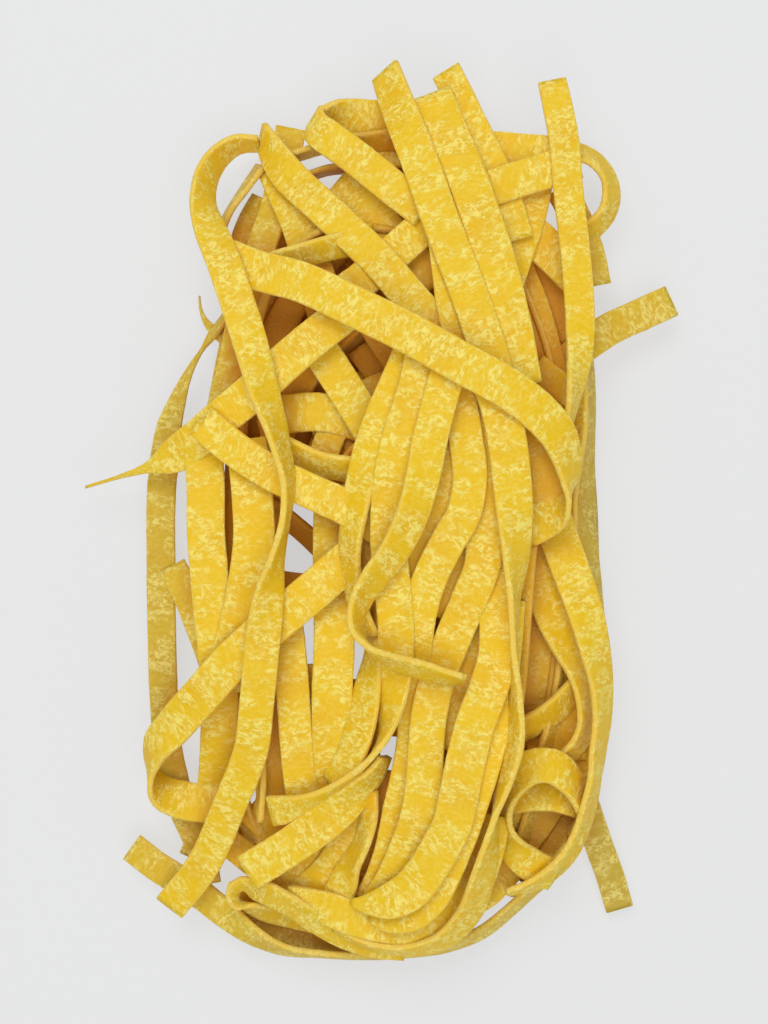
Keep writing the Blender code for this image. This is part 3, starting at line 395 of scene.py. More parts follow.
# Noodles that only show deep in the slits between the others, each as in the list of noodles
SLIT_NOODLES = {
    "long_slit": (6.0, [(474, 535, 22.6, 0), (458, 575, 22.6, 0), (440, 618, 22.4, 0)]),
    "hollow_slit": (6.0, [
        (520, 545, 20.4, 20), (516, 600, 19.4, 25), (512, 660, 18.6, 25), (505, 720, 18.4, 20)]),
    "fold_inner": (6.2, [(530, 424, 20.5, 0), (548, 466, 21, 0), (547, 512, 19.8, 0)]),
    "top_floor": (6.4, [(356, 250, 8.6, 0), (383, 288, 8.8, 0), (412, 330, 9, 0)]),
    "hole_floor": (6.4, [(420, 238, 10, 0), (434, 282, 10.4, 0), (452, 338, 10.6, 0)]),
    "corner_floor_low": (5.6, [(228, 822, 6.4, 0), (264, 849, 6.4, 0), (304, 876, 6.4, 0)]),
    "fold_floor_low": (4.4, [(236, 889, 4.6, 0), (262, 903, 4.6, 0), (300, 917, 4.6, 0)]),
    "hook_slit": (6.2, [(381, 462, 21.5, 0), (370, 510, 21.5, 0), (364, 570, 21.5, 0), (372, 625, 21, 0)]),
}

# The least share of painted shade, the deep colour, on the noodles in the slits
SLIT_PAINTED_SHADE = 0.55

# Painted shade on low noodles: full if the middle lies this low in millimetres, none above the second height
MOST_SHADE_BELOW = 3.5
NO_SHADE_ABOVE = 12.5

# The coils: a seed, the share of the full size, and the height of the middle line in millimetres
SIDE_COILS = ((1, 0.97, 2.9), (4, 0.95, 6.5), (8, 0.92, 10.0), (11, 0.82, 11.6))
BOTTOM_COILS = (
    (21, 0.88, 0.9), (22, 0.74, 0.9), (23, 0.6, 0.9), (24, 0.46, 0.9), (25, 0.32, 0.9), (26, 0.17, 0.9),
)
INNER_COILS = (
    (2, 0.76, 3.9), (3, 0.45, 3.9), (5, 0.8, 6.8), (6, 0.62, 6.9), (7, 0.35, 6.9), (9, 0.76, 10.0),
    (10, 0.55, 10.0), (12, 0.6, 12.6), (13, 0.42, 13.0), (14, 0.4, 16.0), (15, 0.28, 16.5),
    (16, 0.2, 18.0),
)
COIL_MIDDLE = (1.9, -5.5)
COIL_HALF_SIZE = (35.5, 72.0)
COIL_ROUNDNESS = 2.4
COIL_POINTS = 120
COIL_WIDTHS = (5.3, 6.2)
SIDE_LEANS = (52.0, 68.0)
BOTTOM_LEANS = (-10.0, 10.0)
INNER_LEANS = (-35.0, 45.0)
COIL_RISE = 0.6
COIL_CLEARANCE = 0.15
LEAN_WAVE = 14.0
# How far a coil strays from its oval: pairs of a share of its size and a count of waves, and a shift
# across in millimetres
COIL_WAVES = ((0.035, 2), (0.02, 5))
COIL_SHIFT = 1.0

# The nest's top, mapped on a grid of cells in millimetres, tells how deep under its neighbours a noodle
# lies: painted shade, the deep colour, starts at the free depth and is full at the full one
CELL = 1.0
MAP_REACH = 95.0
MAP_SOFTENING = 4
MAP_STEPS = 3
DEPTH_FREE = 0.8
DEPTH_FULL = 5.5

# Painted light from beside the nest takes at most this share of the painted shade off outer faces. It
# starts and is full at these shares of the coils' size.
LIT_FROM = 0.8
LIT_FULL = 0.95
LIT_MOST = 0.8

# The waver and the relief are noise along and across a noodle, whose noise starts at a place of its own
NOODLE_START = 41.0
WAVER_FREQUENCY = 0.45
WAVER_SIDE = 7.0
RELIEF_FREQUENCIES = (0.6, 0.7, 3.0)
MERGE_DISTANCE = 0.001
COIL_SPACING = 2
TONE_STRAY = 0.12

# A noodle's number shifts its noise. Each part of the nest starts a step after the one before it, a coil
# adds its seed, and a noodle in a slit adds how many were made before it.
GROUP_NUMBER_STEP = 20
COIL_NUMBERS_FROM = 200
SLIT_NUMBERS_FROM = 240
COIL_TONE_SEED = 5


class NoodleSizes(bpy.types.PropertyGroup):
    """Sizes of a noodle, and how finely it is modelled."""

    thickness: bpy.props.FloatProperty(
        name="Thickness", description="Thickness of a noodle", default=0.0011, precision=5, unit="LENGTH")
    edge_radius: bpy.props.FloatProperty(
        name="Edge radius", description="Rounding of a noodle's edges", default=0.00032, precision=5,
        unit="LENGTH")
    station_spacing: bpy.props.FloatProperty(
        name="Station spacing", description="Distance between cross-sections along a noodle",
        default=0.0012, precision=5, unit="LENGTH")
    relief: bpy.props.FloatProperty(
        name="Relief", description="Height of the uneven surface", default=0.00007, precision=6,
        unit="LENGTH")
    edge_waver: bpy.props.FloatProperty(
        name="Edge waver", description="How far a cut edge strays from straight", default=0.00014,
        precision=6, unit="LENGTH")
    face_columns: bpy.props.IntProperty(
        name="Face columns", description="Faces across a noodle", default=6, min=2)


class PastaLook(bpy.types.PropertyGroup):
    """Colours and finish of the dry pasta, the painted shade of the low and deep noodles among them."""

    golden: bpy.props.FloatVectorProperty(
        name="Golden", description="Smooth dough", default=(0.85, 0.565, 0.012), subtype="COLOR")
    amber: bpy.props.FloatVectorProperty(
        name="Amber", description="Deeper tone of some stretches", default=(0.79, 0.455, 0.01),
        subtype="COLOR")
    # Painted shade: the low noodles by the table are mixed toward this olive, and their flour toward the
    # next
    shaded_olive: bpy.props.FloatVectorProperty(
        name="Olive", description="Duller tone of the low outer noodles", default=(0.42, 0.32, 0.055),
        subtype="COLOR")
    flour: bpy.props.FloatVectorProperty(
        name="Flour", description="Pale floury veins", default=(0.95, 0.81, 0.2), subtype="COLOR")
    shaded_flour: bpy.props.FloatVectorProperty(
        name="Dull flour", description="Floury veins of the low outer noodles", default=(0.62, 0.54, 0.22),
        subtype="COLOR")
    edge: bpy.props.FloatVectorProperty(
        name="Edge", description="Pale cut edges", default=(0.90, 0.66, 0.15), subtype="COLOR")
    # Painted shade: warm brown mixed onto the noodles that lie deep under their neighbours
    deep: bpy.props.FloatVectorProperty(
        name="Deep", description="Warm brown of the noodles deep in the nest", default=(0.66, 0.26, 0.014),
        subtype="COLOR")
    roughness: bpy.props.FloatProperty(
        name="Roughness", description="Roughness of the smooth dough", default=0.5, min=0, max=1,
        subtype="FACTOR")


class StudioLook(bpy.types.PropertyGroup):
    """Floor and light round the nest."""

    floor: bpy.props.FloatVectorProperty(
        name="Floor", description="Floor colour", default=(0.24, 0.24, 0.24), subtype="COLOR")
    floor_glow: bpy.props.FloatProperty(
        name="Floor glow", description="Light of its own of the lit floor", default=0.57, min=0)
    surround: bpy.props.FloatProperty(
        name="Surround", description="Strength of the even light from all round", default=0.43, min=0)
    key_power: bpy.props.FloatProperty(
        name="Key power", description="Power of the large soft light above the upper end", default=1.8,
        min=0, unit="POWER")
    fill_power: bpy.props.FloatProperty(
        name="Fill power", description="Power of the light overhead", default=1.85, min=0, unit="POWER")


def span(height):
    """What one pixel spans at this height, in millimetres."""
    return PLAN_STEP * (1 - height / EYE_HEIGHT)


def place(across, down, height):
    """The point that shows at this pixel and lies at this height, in millimetres."""
    x = (across - PICTURE_MIDDLE[0]) * span(height) - NEST_MIDDLE[0]
    y = (PICTURE_MIDDLE[1] - down) * span(height) - NEST_MIDDLE[1]
    return Vector((x, y, height))


def pixel_of(point):
    """The pixel at which this point shows."""
    across = PICTURE_MIDDLE[0] + (point.x + NEST_MIDDLE[0]) / span(point.z)
    down = PICTURE_MIDDLE[1] - (point.y + NEST_MIDDLE[1]) / span(point.z)
    return across, down


def smooth_route(rows, spacing):
    """Stations on a smooth curve through the rows: x, y, z, turn in degrees, share of the width."""
    lengths = [(b - a).xyz.length for a, b in zip(rows, rows[1:])]
    slopes = [(b - a) / length for a, b, length in zip(rows, rows[1:], lengths)]
    ways = [slopes[0]]
    for before, after, m, n in zip(slopes, slopes[1:], lengths, lengths[1:]):
        ways.append((before * n + after * m) / (m + n))
    ways.append(slopes[-1])
    stations = [rows[0]]
    for i, length in enumerate(lengths):
        count = max(1, round(length / spacing))
        for step in range(1, count + 1):
            t = step / count
            leaving = rows[i] * (2 * t**3 - 3 * t**2 + 1) + ways[i] * (length * (t**3 - 2 * t**2 + t))
            arriving = rows[i + 1] * (3 * t**2 - 2 * t**3) + ways[i + 1] * (length * (t**3 - t**2))
            stations.append(leaving + arriving)
    return stations


def route_of(knots, spacing):
    """Stations along a noodle of the table."""
    return smooth_route([Vector((*place(*knot[:3]), *knot[3:], 1.0)[:5]) for knot in knots], spacing)


def closes_gap(station, width, thickness):
    """Whether a noodle at this station would cover part of a see-through gap."""
    across, down = pixel_of(station.xyz)
    reach = max(width / 2 * abs(math.cos(math.radians(station[3]))), thickness / 2) / span(station[2])
    for left, right, upper, lower in GAPS:
        if left - reach < across < right + reach and upper - reach < down < lower + reach:
            return True
    return False


def longest_open_run(stations, width, thickness):
    """The longest stretch of a closed coil that leaves every gap open."""
    shut = [closes_gap(station, width, thickness) for station in stations]
    first = shut.index(True) if any(shut) else 0
    runs = [[]]
    for k in range(1, len(stations) + 1):
        at = (first + k) % len(stations)
        if shut[at]:
            runs.append([])
        else:
            runs[-1].append(stations[at])
    return max(runs, key=len)


def coil(seed, share, level, leans, thickness):
    """The width and the stations of a noodle laid round the nest, uneven by a seeded draw of its own."""
    draw = random.Random(seed)
    width = draw.uniform(*COIL_WIDTHS)
    lean = draw.uniform(*leans)
    shift = draw.uniform(-COIL_SHIFT, COIL_SHIFT)
    phases = [draw.uniform(0, 2 * math.pi) for _ in range(4)]
    stations = []
    for k in range(COIL_POINTS):
        angle = 2 * math.pi * k / COIL_POINTS
        wave = 1
        for (share_of_size, count), phase in zip(COIL_WAVES, phases):
            wave += share_of_size * math.sin(count * angle + phase)
        across = math.copysign(abs(math.cos(angle)) ** (2 / COIL_ROUNDNESS), math.cos(angle))
        along = math.copysign(abs(math.sin(angle)) ** (2 / COIL_ROUNDNESS), math.sin(angle))
        x = COIL_MIDDLE[0] + shift + COIL_HALF_SIZE[0] * share * wave * across
        y = COIL_MIDDLE[1] + COIL_HALF_SIZE[1] * share * wave * along
        turn = lean + LEAN_WAVE * math.sin(3 * angle + phases[3])
        lowest = (width * abs(math.sin(math.radians(turn))) + thickness) / 2
        z = max(level + COIL_RISE * math.sin(2 * angle + phases[2]), lowest + COIL_CLEARANCE)
        stations.append(Vector((x, y, z, turn, 1.0)))
    return width, longest_open_run(stations, width, thickness)


def cover_map():
    """How high the nest reaches over each cell of the table in millimetres, softened."""
    cells = round(2 * MAP_REACH / CELL)
    top = numpy.zeros((cells, cells))
    for group in NOODLES.values():
        for width, knots in group.values():
            stations = route_of(knots, CELL)
            for station, (side, _) in zip(stations, axes_along(stations)):
                for step in range(-MAP_STEPS, MAP_STEPS + 1):
                    point = station.xyz + side * (width * station[4] * step / (2 * MAP_STEPS))
                    at = cell_of(point)
                    top[at] = max(top[at], point.z)
    for axis in (0, 1, 0, 1):
        shifts = range(-MAP_SOFTENING, MAP_SOFTENING + 1)
        top = sum(numpy.roll(top, shift, axis) for shift in shifts) / len(shifts)
    return top


def cell_of(point):
    """Row and column of the map's cell that holds this point."""
    return int((point.x + MAP_REACH) / CELL), int((point.y + MAP_REACH) / CELL)


def cross_section(width, sizes):
    """Points round a noodle's section in millimetres: across, up, and 1 on a cut edge."""
    thickness = sizes.thickness / MM
    radius = sizes.edge_radius / MM
    flat = width / 2 - radius
    points = []
    for side in (1, -1):
        for k in range(sizes.face_columns + 1):
            points.append((side * flat * (1 - 2 * k / sizes.face_columns), side * thickness / 2, 0.0))
        for degrees in (45, 90):
            away = radius * math.sin(math.radians(degrees))
            drop = radius * (1 - math.cos(math.radians(degrees)))
            points.append((-side * (flat + away), side * (thickness / 2 - drop), degrees / 90))
        points.append((-side * (flat + radius), -side * (thickness / 2 - radius), 1.0))
        points.append((-side * (flat + radius * math.sin(math.radians(45))),
                       -side * (thickness / 2 - radius * (1 - math.cos(math.radians(45)))), 0.5))
    return points


def axes_along(stations):
    """At each station, the noodle's direction across and its direction up, turned about its length."""
    frames = []
    last = len(stations) - 1
    for i, station in enumerate(stations):
        ahead = (stations[min(i + 1, last)] - stations[max(i - 1, 0)]).xyz.normalized()
        level = Vector((0, 0, 1)).cross(ahead).normalized()
        up = ahead.cross(level)
        turn = math.radians(station[3])
        side = level * math.cos(turn) + up * math.sin(turn)
        frames.append((side, up * math.cos(turn) - level * math.sin(turn)))
    return frames


def within_solid(point):
    """The point in millimetres, moved in where it would pass the box round the nest's solid."""
    return Vector([min(max(value, low / MM), high / MM) for value, low, high in zip(point, *SOLID_BOX)])


def light_from_side(point, facing):
    """The share of painted shade that painted light from beside the nest takes off, on outer faces alone."""
    away = Vector((point.x - COIL_MIDDLE[0], point.y - COIL_MIDDLE[1], 0))
    share = math.hypot(away.x / COIL_HALF_SIZE[0], away.y / COIL_HALF_SIZE[1])
    near = min(1.0, max(0.0, (share - LIT_FROM) / (LIT_FULL - LIT_FROM)))
    return LIT_MOST * near * max(0.0, away.normalized().dot(facing))


def noodle(width, stations, sizes, tone, number, cover, least_shade=0.0):
    """One noodle as a closed bmesh: a grid folded round its section and laid along its stations."""
    shape = bmesh.new()
    uv_layer = shape.loops.layers.uv.new("noodle")
    edge_layer = shape.verts.layers.float.new("cut_edge")
    low_shade_layer = shape.verts.layers.float.new("tone")
    painted_shade_layer = shape.verts.layers.float.new("painted_shade")
    section = cross_section(width, sizes)
    rows = len(stations) - 1
    columns = len(section)
    bmesh.ops.create_grid(shape, x_segments=rows, y_segments=columns, size=1)
    axes = axes_along(stations)
    walked = [0.0]
    for a, b in zip(stations, stations[1:]):
        walked.append(walked[-1] + (b - a).xyz.length)
    steps = [math.dist(a[:2], b[:2]) for a, b in zip(section, section[1:] + section[:1])]
    round_it = [sum(steps[:j]) for j in range(columns + 1)]
    start = number * NOODLE_START
    places = {}
    for vert in shape.verts:
        i = round((vert.co.x + 1) / 2 * rows)
        j = round((vert.co.y + 1) / 2 * columns)
        across, up, edge = section[j % columns]
        station = stations[i]
        side, face = axes[i]
        along = start + walked[i]
        beside = Vector((along * WAVER_FREQUENCY, math.copysign(WAVER_SIDE, across), 0.0))
        stray = noise.noise(beside) * edge
        across += math.copysign(sizes.edge_waver / MM * stray, across)
        spot = Vector([way * often for way, often in zip((along, across, up), RELIEF_FREQUENCIES)])
        bump = noise.noise(spot) * (1 - edge)
        up += math.copysign(sizes.relief / MM * bump, up)
        vert.co = within_solid(station.xyz + side * (across * station[4]) + face * up)
        vert[edge_layer] = edge
        # Painted shade of the low noodles, with a random stray of tone
        vert[low_shade_layer] = tone
        # Painted shade by depth under the nest's softened top, less painted light from beside on outer faces
        under = cover[cell_of(vert.co)] - station.z - DEPTH_FREE
        shade_share = min(1.0, max(least_shade, under / (DEPTH_FULL - DEPTH_FREE)))
        vert[painted_shade_layer] = shade_share * (1 - light_from_side(vert.co, face * math.copysign(1, up)))
        places[vert] = (along, round_it[j])
    for face in shape.faces:
        for loop in face.loops:
            loop[uv_layer].uv = places[loop.vert]
    bmesh.ops.remove_doubles(shape, verts=shape.verts, dist=MERGE_DISTANCE)
    ends = [edge for edge in shape.edges if edge.is_boundary]
    bmesh.ops.holes_fill(shape, edges=ends, sides=0)
    bmesh.ops.recalc_face_normals(shape, faces=shape.faces)
    bmesh.ops.scale(shape, vec=Vector((MM, MM, MM)), verts=shape.verts)
    for face in shape.faces:
        face.smooth = len(face.verts) == 4
    return shape


def gather(name, shapes, material):
    """The shapes as one piece, which stands for the solid of the nest."""
    whole = bmesh.new()
    part = bpy.data.meshes.new(name + "_part")
    for shape in shapes:
        shape.to_mesh(part)
        whole.from_mesh(part)
        shape.free()
    mesh = bpy.data.meshes.new(name)
    whole.to_mesh(mesh)
    whole.free()
    bpy.data.meshes.remove(part)
    mesh.materials.append(material)
    piece = bpy.data.objects.new(name, mesh)
    bpy.context.scene.collection.objects.link(piece)
    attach(piece, BODY)
    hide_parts(NODE)
    return piece


def low_shade_of(stations, draw):
    """Share of painted shade on a noodle, 0 to 1, with a random stray: most on the low ones by the table."""
    height = sum(station[2] for station in stations) / len(stations)
    low_shade = 1.0 - (height - MOST_SHADE_BELOW) / (NO_SHADE_ABOVE - MOST_SHADE_BELOW)
    return min(1.0, max(0.0, low_shade + draw.uniform(-TONE_STRAY, TONE_STRAY)))


# The sockets of the colour mix node
MIX_FACTOR = 0
MIX_FIRST = 6
MIX_SECOND = 7
MIX_RESULT = 2


class Nodes:
    """Adds shader nodes to a material in a few words."""

    def __init__(self, material):
        material.use_nodes = True
        self.tree = material.node_tree
        self.shader = self.tree.nodes["Principled BSDF"]

    def add(self, kind, **values):
        node = self.tree.nodes.new(kind)
        for name, value in values.items():
            setattr(node, name, value)
        return node

    def join(self, source, socket):
        if isinstance(source, (int, float, tuple)):
            socket.default_value = source
        else:
            self.tree.links.new(source, socket)

    def math(self, operation, first, second=0.0, third=0.0, clamp=False):
        node = self.add("ShaderNodeMath", operation=operation, use_clamp=clamp)
        self.join(first, node.inputs[0])
        self.join(second, node.inputs[1])
        self.join(third, node.inputs[2])
        return node.outputs[0]

    def noise(self, vector, scale, detail=2.0, roughness=0.5):
        node = self.add("ShaderNodeTexNoise")
        self.join(vector, node.inputs["Vector"])
        node.inputs["Scale"].default_value = scale
        node.inputs["Detail"].default_value = detail
        node.inputs["Roughness"].default_value = roughness
        return node

    def ramp(self, value, low, high):
        """0 at low and 1 at high, smoothly."""
        node = self.add("ShaderNodeMapRange", interpolation_type="SMOOTHSTEP")
        self.join(value, node.inputs["Value"])
        node.inputs["From Min"].default_value = low
        node.inputs["From Max"].default_value = high
        return node.outputs["Result"]

    def mix(self, factor, first, second):
        node = self.add("ShaderNodeMix", data_type="RGBA")
        self.join(factor, node.inputs[MIX_FACTOR])
        self.join(first, node.inputs[MIX_FIRST])
        self.join(second, node.inputs[MIX_SECOND])
        return node.outputs[MIX_RESULT]

    def attribute(self, name):
        return self.add("ShaderNodeAttribute", attribute_name=name).outputs["Fac"]


# The dough's pattern, on the noodle's own map in millimetres. A ramp is a pair: where it starts and ends.
PATTERN_STRETCH = (1.15, 0.7, 1.0)
BEND_REACH = 1.3
MIDDLE_VALUE = 0.5
WORMS = (0.95, 0.13)
FINE_WORMS = (1.9, 0.12)
FINE_SHARE = 0.35
VEIN_CORE = 0.25
BREAK_SCALE = 1.1
BREAK_RAMP = (0.38, 0.52)
CLUSTER_SCALE = 0.26
CLUSTER_RAMP = (0.4, 0.56)
CLUSTER_LEAST = 0.2
HAZE_SCALE = 0.6
HAZE_RAMP = (0.4, 0.7)
HAZE_SHARE = 0.4
AMBER_SCALE = 0.13
AMBER_RAMP = (0.4, 0.65)
GRAIN_SCALE = 5.0
GRAIN_SHARE = 0.5

# How far each tone, painted shade among them, covers the one below it
AMBER_SHARE = 0.5
SHADED_OLIVE_SHARE = 0.8
SHADED_FLOUR_SHARE = 0.5
FLOUR_SHARE = 0.88
EDGE_SHARE = 0.6
PAINTED_SHADE_SHARE = 0.85

# The finish of the dough, lengths in metres
FLOUR_ROUGHNESS = 0.22
SPECULAR = 0.22
SCATTER_WEIGHT = 0.15
SCATTER_RADIUS = (1.0, 0.5, 0.08)
SCATTER_SCALE = 0.0012
BUMP_STRENGTH = 0.55
BUMP_DISTANCE = 0.00018


def veins(nodes, place_on, scale, thin):
    """Wormy lines: where a noise passes through its middle value."""
    value = nodes.noise(place_on, scale, detail=1.0, roughness=0.4).outputs["Fac"]
    distance = nodes.math("ABSOLUTE", nodes.math("SUBTRACT", value, MIDDLE_VALUE))
    return nodes.math("SUBTRACT", 1.0, nodes.ramp(distance, VEIN_CORE * thin, thin))


def pasta_material(look):
    """Dry egg dough with a wormy floury network that mostly runs across the noodle, with painted shade."""
    material = bpy.data.materials.new("dry_pasta")
    nodes = Nodes(material)
    noodle_map = nodes.add("ShaderNodeUVMap", uv_map="noodle").outputs["UV"]
    lengthen = nodes.add("ShaderNodeMapping")
    nodes.join(noodle_map, lengthen.inputs["Vector"])
    lengthen.inputs["Scale"].default_value = PATTERN_STRETCH
    flat_place = lengthen.outputs["Vector"]
    bend = nodes.noise(flat_place, 1.0, detail=2.0).outputs["Color"]
    centred = nodes.add("ShaderNodeVectorMath", operation="SUBTRACT")
    nodes.join(bend, centred.inputs[0])
    centred.inputs[1].default_value = (MIDDLE_VALUE, MIDDLE_VALUE, MIDDLE_VALUE)
    spread = nodes.add("ShaderNodeVectorMath", operation="SCALE")
    nodes.join(centred.outputs[0], spread.inputs[0])
    spread.inputs["Scale"].default_value = BEND_REACH
    bent = nodes.add("ShaderNodeVectorMath", operation="ADD")
    nodes.join(flat_place, bent.inputs[0])
    nodes.join(spread.outputs[0], bent.inputs[1])
    place_on = bent.outputs[0]
    worms = veins(nodes, place_on, *WORMS)
    fine_worms = veins(nodes, place_on, *FINE_WORMS)
    breaks = nodes.ramp(nodes.noise(place_on, BREAK_SCALE, detail=1.0).outputs["Fac"], *BREAK_RAMP)
    cluster = nodes.ramp(nodes.noise(flat_place, CLUSTER_SCALE, detail=1.5).outputs["Fac"], *CLUSTER_RAMP)
    haze = nodes.ramp(nodes.noise(place_on, HAZE_SCALE, detail=2.5).outputs["Fac"], *HAZE_RAMP)
    strokes = nodes.math("MAXIMUM", worms, nodes.math("MULTIPLY", fine_worms, FINE_SHARE))
    broken = nodes.math("MULTIPLY", strokes, breaks)
    gathered = nodes.math("MULTIPLY_ADD", cluster, 1 - CLUSTER_LEAST, CLUSTER_LEAST)
    network = nodes.math("MULTIPLY", broken, gathered)
    hazy = nodes.math("MULTIPLY", nodes.math("MULTIPLY", haze, cluster), HAZE_SHARE)
    floury = nodes.math("ADD", network, hazy, clamp=True)
    deeper = nodes.ramp(nodes.noise(flat_place, AMBER_SCALE, detail=2.0).outputs["Fac"], *AMBER_RAMP)
    painted_shade = nodes.attribute("painted_shade")
    dough = nodes.mix(nodes.math("MULTIPLY", deeper, AMBER_SHARE), (*look.golden, 1.0), (*look.amber, 1.0))
    # Painted shade: the low noodles by the table turn olive, and their flour duller
    low = nodes.math("MULTIPLY", nodes.attribute("tone"), SHADED_OLIVE_SHARE)
    dough = nodes.mix(low, dough, (*look.shaded_olive, 1.0))
    low_shade = nodes.math("MULTIPLY", nodes.attribute("tone"), SHADED_FLOUR_SHARE)
    flour = nodes.mix(low_shade, (*look.flour, 1.0), (*look.shaded_flour, 1.0))
    colour = nodes.mix(nodes.math("MULTIPLY", floury, FLOUR_SHARE), dough, flour)
    on_edge = nodes.math("MULTIPLY", nodes.attribute("cut_edge"), EDGE_SHARE)
    colour = nodes.mix(on_edge, colour, (*look.edge, 1.0))
    # Painted shade: the deep colour is mixed in where a noodle lies deep under its neighbours
    colour = nodes.mix(nodes.math("MULTIPLY", painted_shade, PAINTED_SHADE_SHARE), colour, (*look.deep, 1.0))
    nodes.join(colour, nodes.shader.inputs["Base Color"])
    roughness = nodes.math("MULTIPLY_ADD", floury, FLOUR_ROUGHNESS, look.roughness)
    nodes.join(roughness, nodes.shader.inputs["Roughness"])
    nodes.shader.inputs["Specular IOR Level"].default_value = SPECULAR
    nodes.shader.inputs["Subsurface Weight"].default_value = SCATTER_WEIGHT
    nodes.shader.inputs["Subsurface Radius"].default_value = SCATTER_RADIUS
    nodes.shader.inputs["Subsurface Scale"].default_value = SCATTER_SCALE
    grain = nodes.noise(noodle_map, GRAIN_SCALE, detail=2.0).outputs["Fac"]
    height = nodes.math("ADD", floury, nodes.math("MULTIPLY", grain, GRAIN_SHARE))
    bump = nodes.add("ShaderNodeBump")
    bump.inputs["Strength"].default_value = BUMP_STRENGTH
    bump.inputs["Distance"].default_value = BUMP_DISTANCE
    nodes.join(height, bump.inputs["Height"])
    nodes.join(bump.outputs["Normal"], nodes.shader.inputs["Normal"])
    return material


def pasta():
    """The one dough material, made the first time that it is asked for."""
    return bpy.data.materials.get("dry_pasta") or pasta_material(bpy.context.scene.pasta_look)


class PASTA_OT_lay_noodles(bpy.types.Operator):
    """Lay the noodles of one part of the nest along their routes"""

    bl_idname = "pasta.lay_noodles"
    bl_label = "Lay noodles"

    group: bpy.props.EnumProperty(
        name="Part", description="Which noodles to lay", items=[(name, name, name) for name in NOODLES])

    def execute(self, context):
        sizes = context.scene.noodle_sizes
        spacing = sizes.station_spacing / MM * 1.0
        draw = random.Random(self.group)
        shapes = []
        cover = cover_map()
        for name, (width, knots) in NOODLES[self.group].items():
            stations = route_of(knots, spacing)
            number = list(NOODLES[self.group]).index(name)
            number += GROUP_NUMBER_STEP * list(NOODLES).index(self.group)
            shapes.append(noodle(width, stations, sizes, low_shade_of(stations, draw), number, cover))
        gather(self.group, shapes, pasta())
        return {"FINISHED"}


class PASTA_OT_wind_coils(bpy.types.Operator):
    """Wind the coils that the nest is made of below the noodles on top"""

    bl_idname = "pasta.wind_coils"
    bl_label = "Wind coils"

    def execute(self, context):
        sizes = context.scene.noodle_sizes
        draw = random.Random(COIL_TONE_SEED)
        cover = cover_map()
        shapes = []
        rings = ((SIDE_COILS, SIDE_LEANS), (BOTTOM_COILS, BOTTOM_LEANS), (INNER_COILS, INNER_LEANS))
        for coils, leans in rings:
            for seed, share, level in coils:
                width, stations = coil(seed, share, level, leans, sizes.thickness / MM)
                stations = smooth_route(stations, COIL_SPACING * sizes.station_spacing / MM)
                number = COIL_NUMBERS_FROM + seed
                shapes.append(noodle(width, stations, sizes, low_shade_of(stations, draw), number, cover))
        for width, knots in SLIT_NOODLES.values():
            stations = route_of(knots, COIL_SPACING * sizes.station_spacing / MM)
            number = SLIT_NUMBERS_FROM + len(shapes)
            # Noodles in the slits get no low shade, and at least the slit share of painted shade
            shapes.append(noodle(width, stations, sizes, 0.0, number, cover, SLIT_PAINTED_SHADE))
        gather("coils", shapes, pasta())
        return {"FINISHED"}


# The stage, in metres. Each light has its place and its side; the camera's sensor is in millimetres.
FLOOR_SIZE = 3.0
FLOOR_LIGHT = (0.985, 1.0, 1.02)
FLOOR_ROUGHNESS = 0.9
FLOOR_SPECULAR = 0.1
SURROUND_COLOR = (1.0, 0.96, 0.9)
KEY_LIGHT = ((-0.12, 0.34, 0.62), 0.35)
OVERHEAD_LIGHT = ((0.06, -0.28, 0.7), 0.5)
SENSOR_HEIGHT = 36.0
NEAREST_SEEN = 0.01


def soft_light(name, at, size, power):
    """A square area light that faces the middle of the nest."""
    data = bpy.data.lights.new(name, "AREA")
    data.shape = "SQUARE"
    data.size = size
    data.energy = power
    light = bpy.data.objects.new(name, data)
    light.location = at
    light.rotation_euler = (-Vector(at)).to_track_quat("-Z", "Y").to_euler()
    bpy.context.scene.collection.objects.link(light)


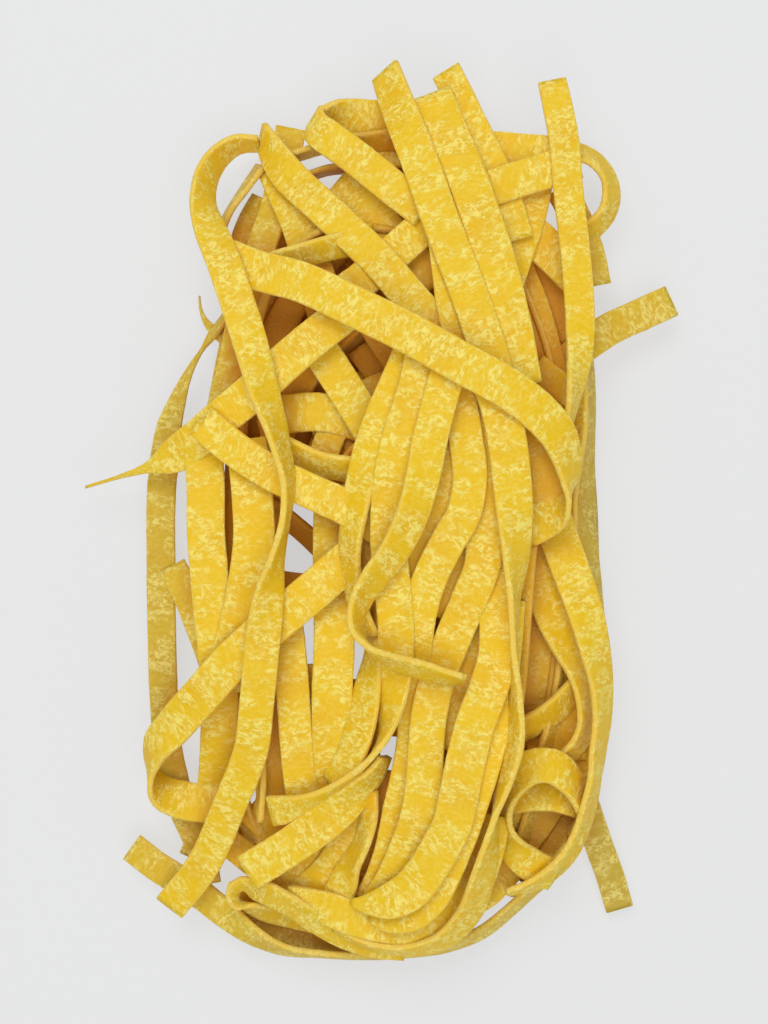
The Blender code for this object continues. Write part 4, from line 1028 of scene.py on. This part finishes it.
class PASTA_OT_set_stage(bpy.types.Operator):
    """Set the pale floor, the soft lights and the camera straight above"""

    bl_idname = "pasta.set_stage"
    bl_label = "Set stage"

    def execute(self, context):
        look = context.scene.studio_look
        shape = bmesh.new()
        bmesh.ops.create_grid(shape, x_segments=1, y_segments=1, size=FLOOR_SIZE)
        mesh = bpy.data.meshes.new("floor")
        shape.to_mesh(mesh)
        shape.free()
        material = bpy.data.materials.new("pale_floor")
        shader = Nodes(material).shader
        shader.inputs["Base Color"].default_value = (*look.floor, 1.0)
        shader.inputs["Emission Color"].default_value = (*FLOOR_LIGHT, 1.0)
        shader.inputs["Emission Strength"].default_value = look.floor_glow
        shader.inputs["Roughness"].default_value = FLOOR_ROUGHNESS
        shader.inputs["Specular IOR Level"].default_value = FLOOR_SPECULAR
        mesh.materials.append(material)
        floor = bpy.data.objects.new("floor", mesh)
        context.scene.collection.objects.link(floor)
        world = bpy.data.worlds.new("studio")
        world.use_nodes = True
        background = world.node_tree.nodes["Background"]
        background.inputs["Color"].default_value = (*SURROUND_COLOR, 1.0)
        background.inputs["Strength"].default_value = look.surround
        context.scene.world = world
        soft_light("key", *KEY_LIGHT, look.key_power)
        soft_light("overhead", *OVERHEAD_LIGHT, look.fill_power)
        context.scene.view_settings.view_transform = "Standard"
        data = bpy.data.cameras.new("camera")
        data.sensor_fit = "VERTICAL"
        data.sensor_height = SENSOR_HEIGHT
        data.lens = data.sensor_height * EYE_HEIGHT / (IMAGE_HEIGHT_PIXELS * PLAN_STEP)
        data.clip_start = NEAREST_SEEN
        camera = bpy.data.objects.new("camera", data)
        camera.location = (-NEST_MIDDLE[0] * MM, -NEST_MIDDLE[1] * MM, EYE_HEIGHT * MM)
        context.scene.collection.objects.link(camera)
        context.scene.camera = camera
        return {"FINISHED"}


class PASTA_PT_nest(bpy.types.Panel):
    """The steps that make the nest and its studio"""

    bl_label = "Dry pasta nest"
    bl_space_type = "VIEW_3D"
    bl_region_type = "UI"
    bl_category = "Pasta"

    def draw(self, context):
        layout = self.layout
        for group in NOODLES:
            layout.operator(PASTA_OT_lay_noodles.bl_idname, text=group.replace("_", " ")).group = group
        layout.operator(PASTA_OT_wind_coils.bl_idname)
        layout.operator(PASTA_OT_set_stage.bl_idname)
        for settings in (context.scene.noodle_sizes, context.scene.pasta_look, context.scene.studio_look):
            box = layout.box()
            for name in settings.__annotations__:
                box.prop(settings, name)


CLASSES = (NoodleSizes, PastaLook, StudioLook, PASTA_OT_lay_noodles, PASTA_OT_wind_coils, PASTA_OT_set_stage,
           PASTA_PT_nest)


def register():
    for item in CLASSES:
        bpy.utils.register_class(item)
    bpy.types.Scene.noodle_sizes = bpy.props.PointerProperty(type=NoodleSizes)
    bpy.types.Scene.pasta_look = bpy.props.PointerProperty(type=PastaLook)
    bpy.types.Scene.studio_look = bpy.props.PointerProperty(type=StudioLook)


def unregister():
    del bpy.types.Scene.studio_look
    del bpy.types.Scene.pasta_look
    del bpy.types.Scene.noodle_sizes
    for item in reversed(CLASSES):
        bpy.utils.unregister_class(item)


def main():
    register()
    for group in NOODLES:
        bpy.ops.pasta.lay_noodles(group=group)
    bpy.ops.pasta.wind_coils()
    bpy.ops.pasta.set_stage()


if __name__ == "__main__":
    main()
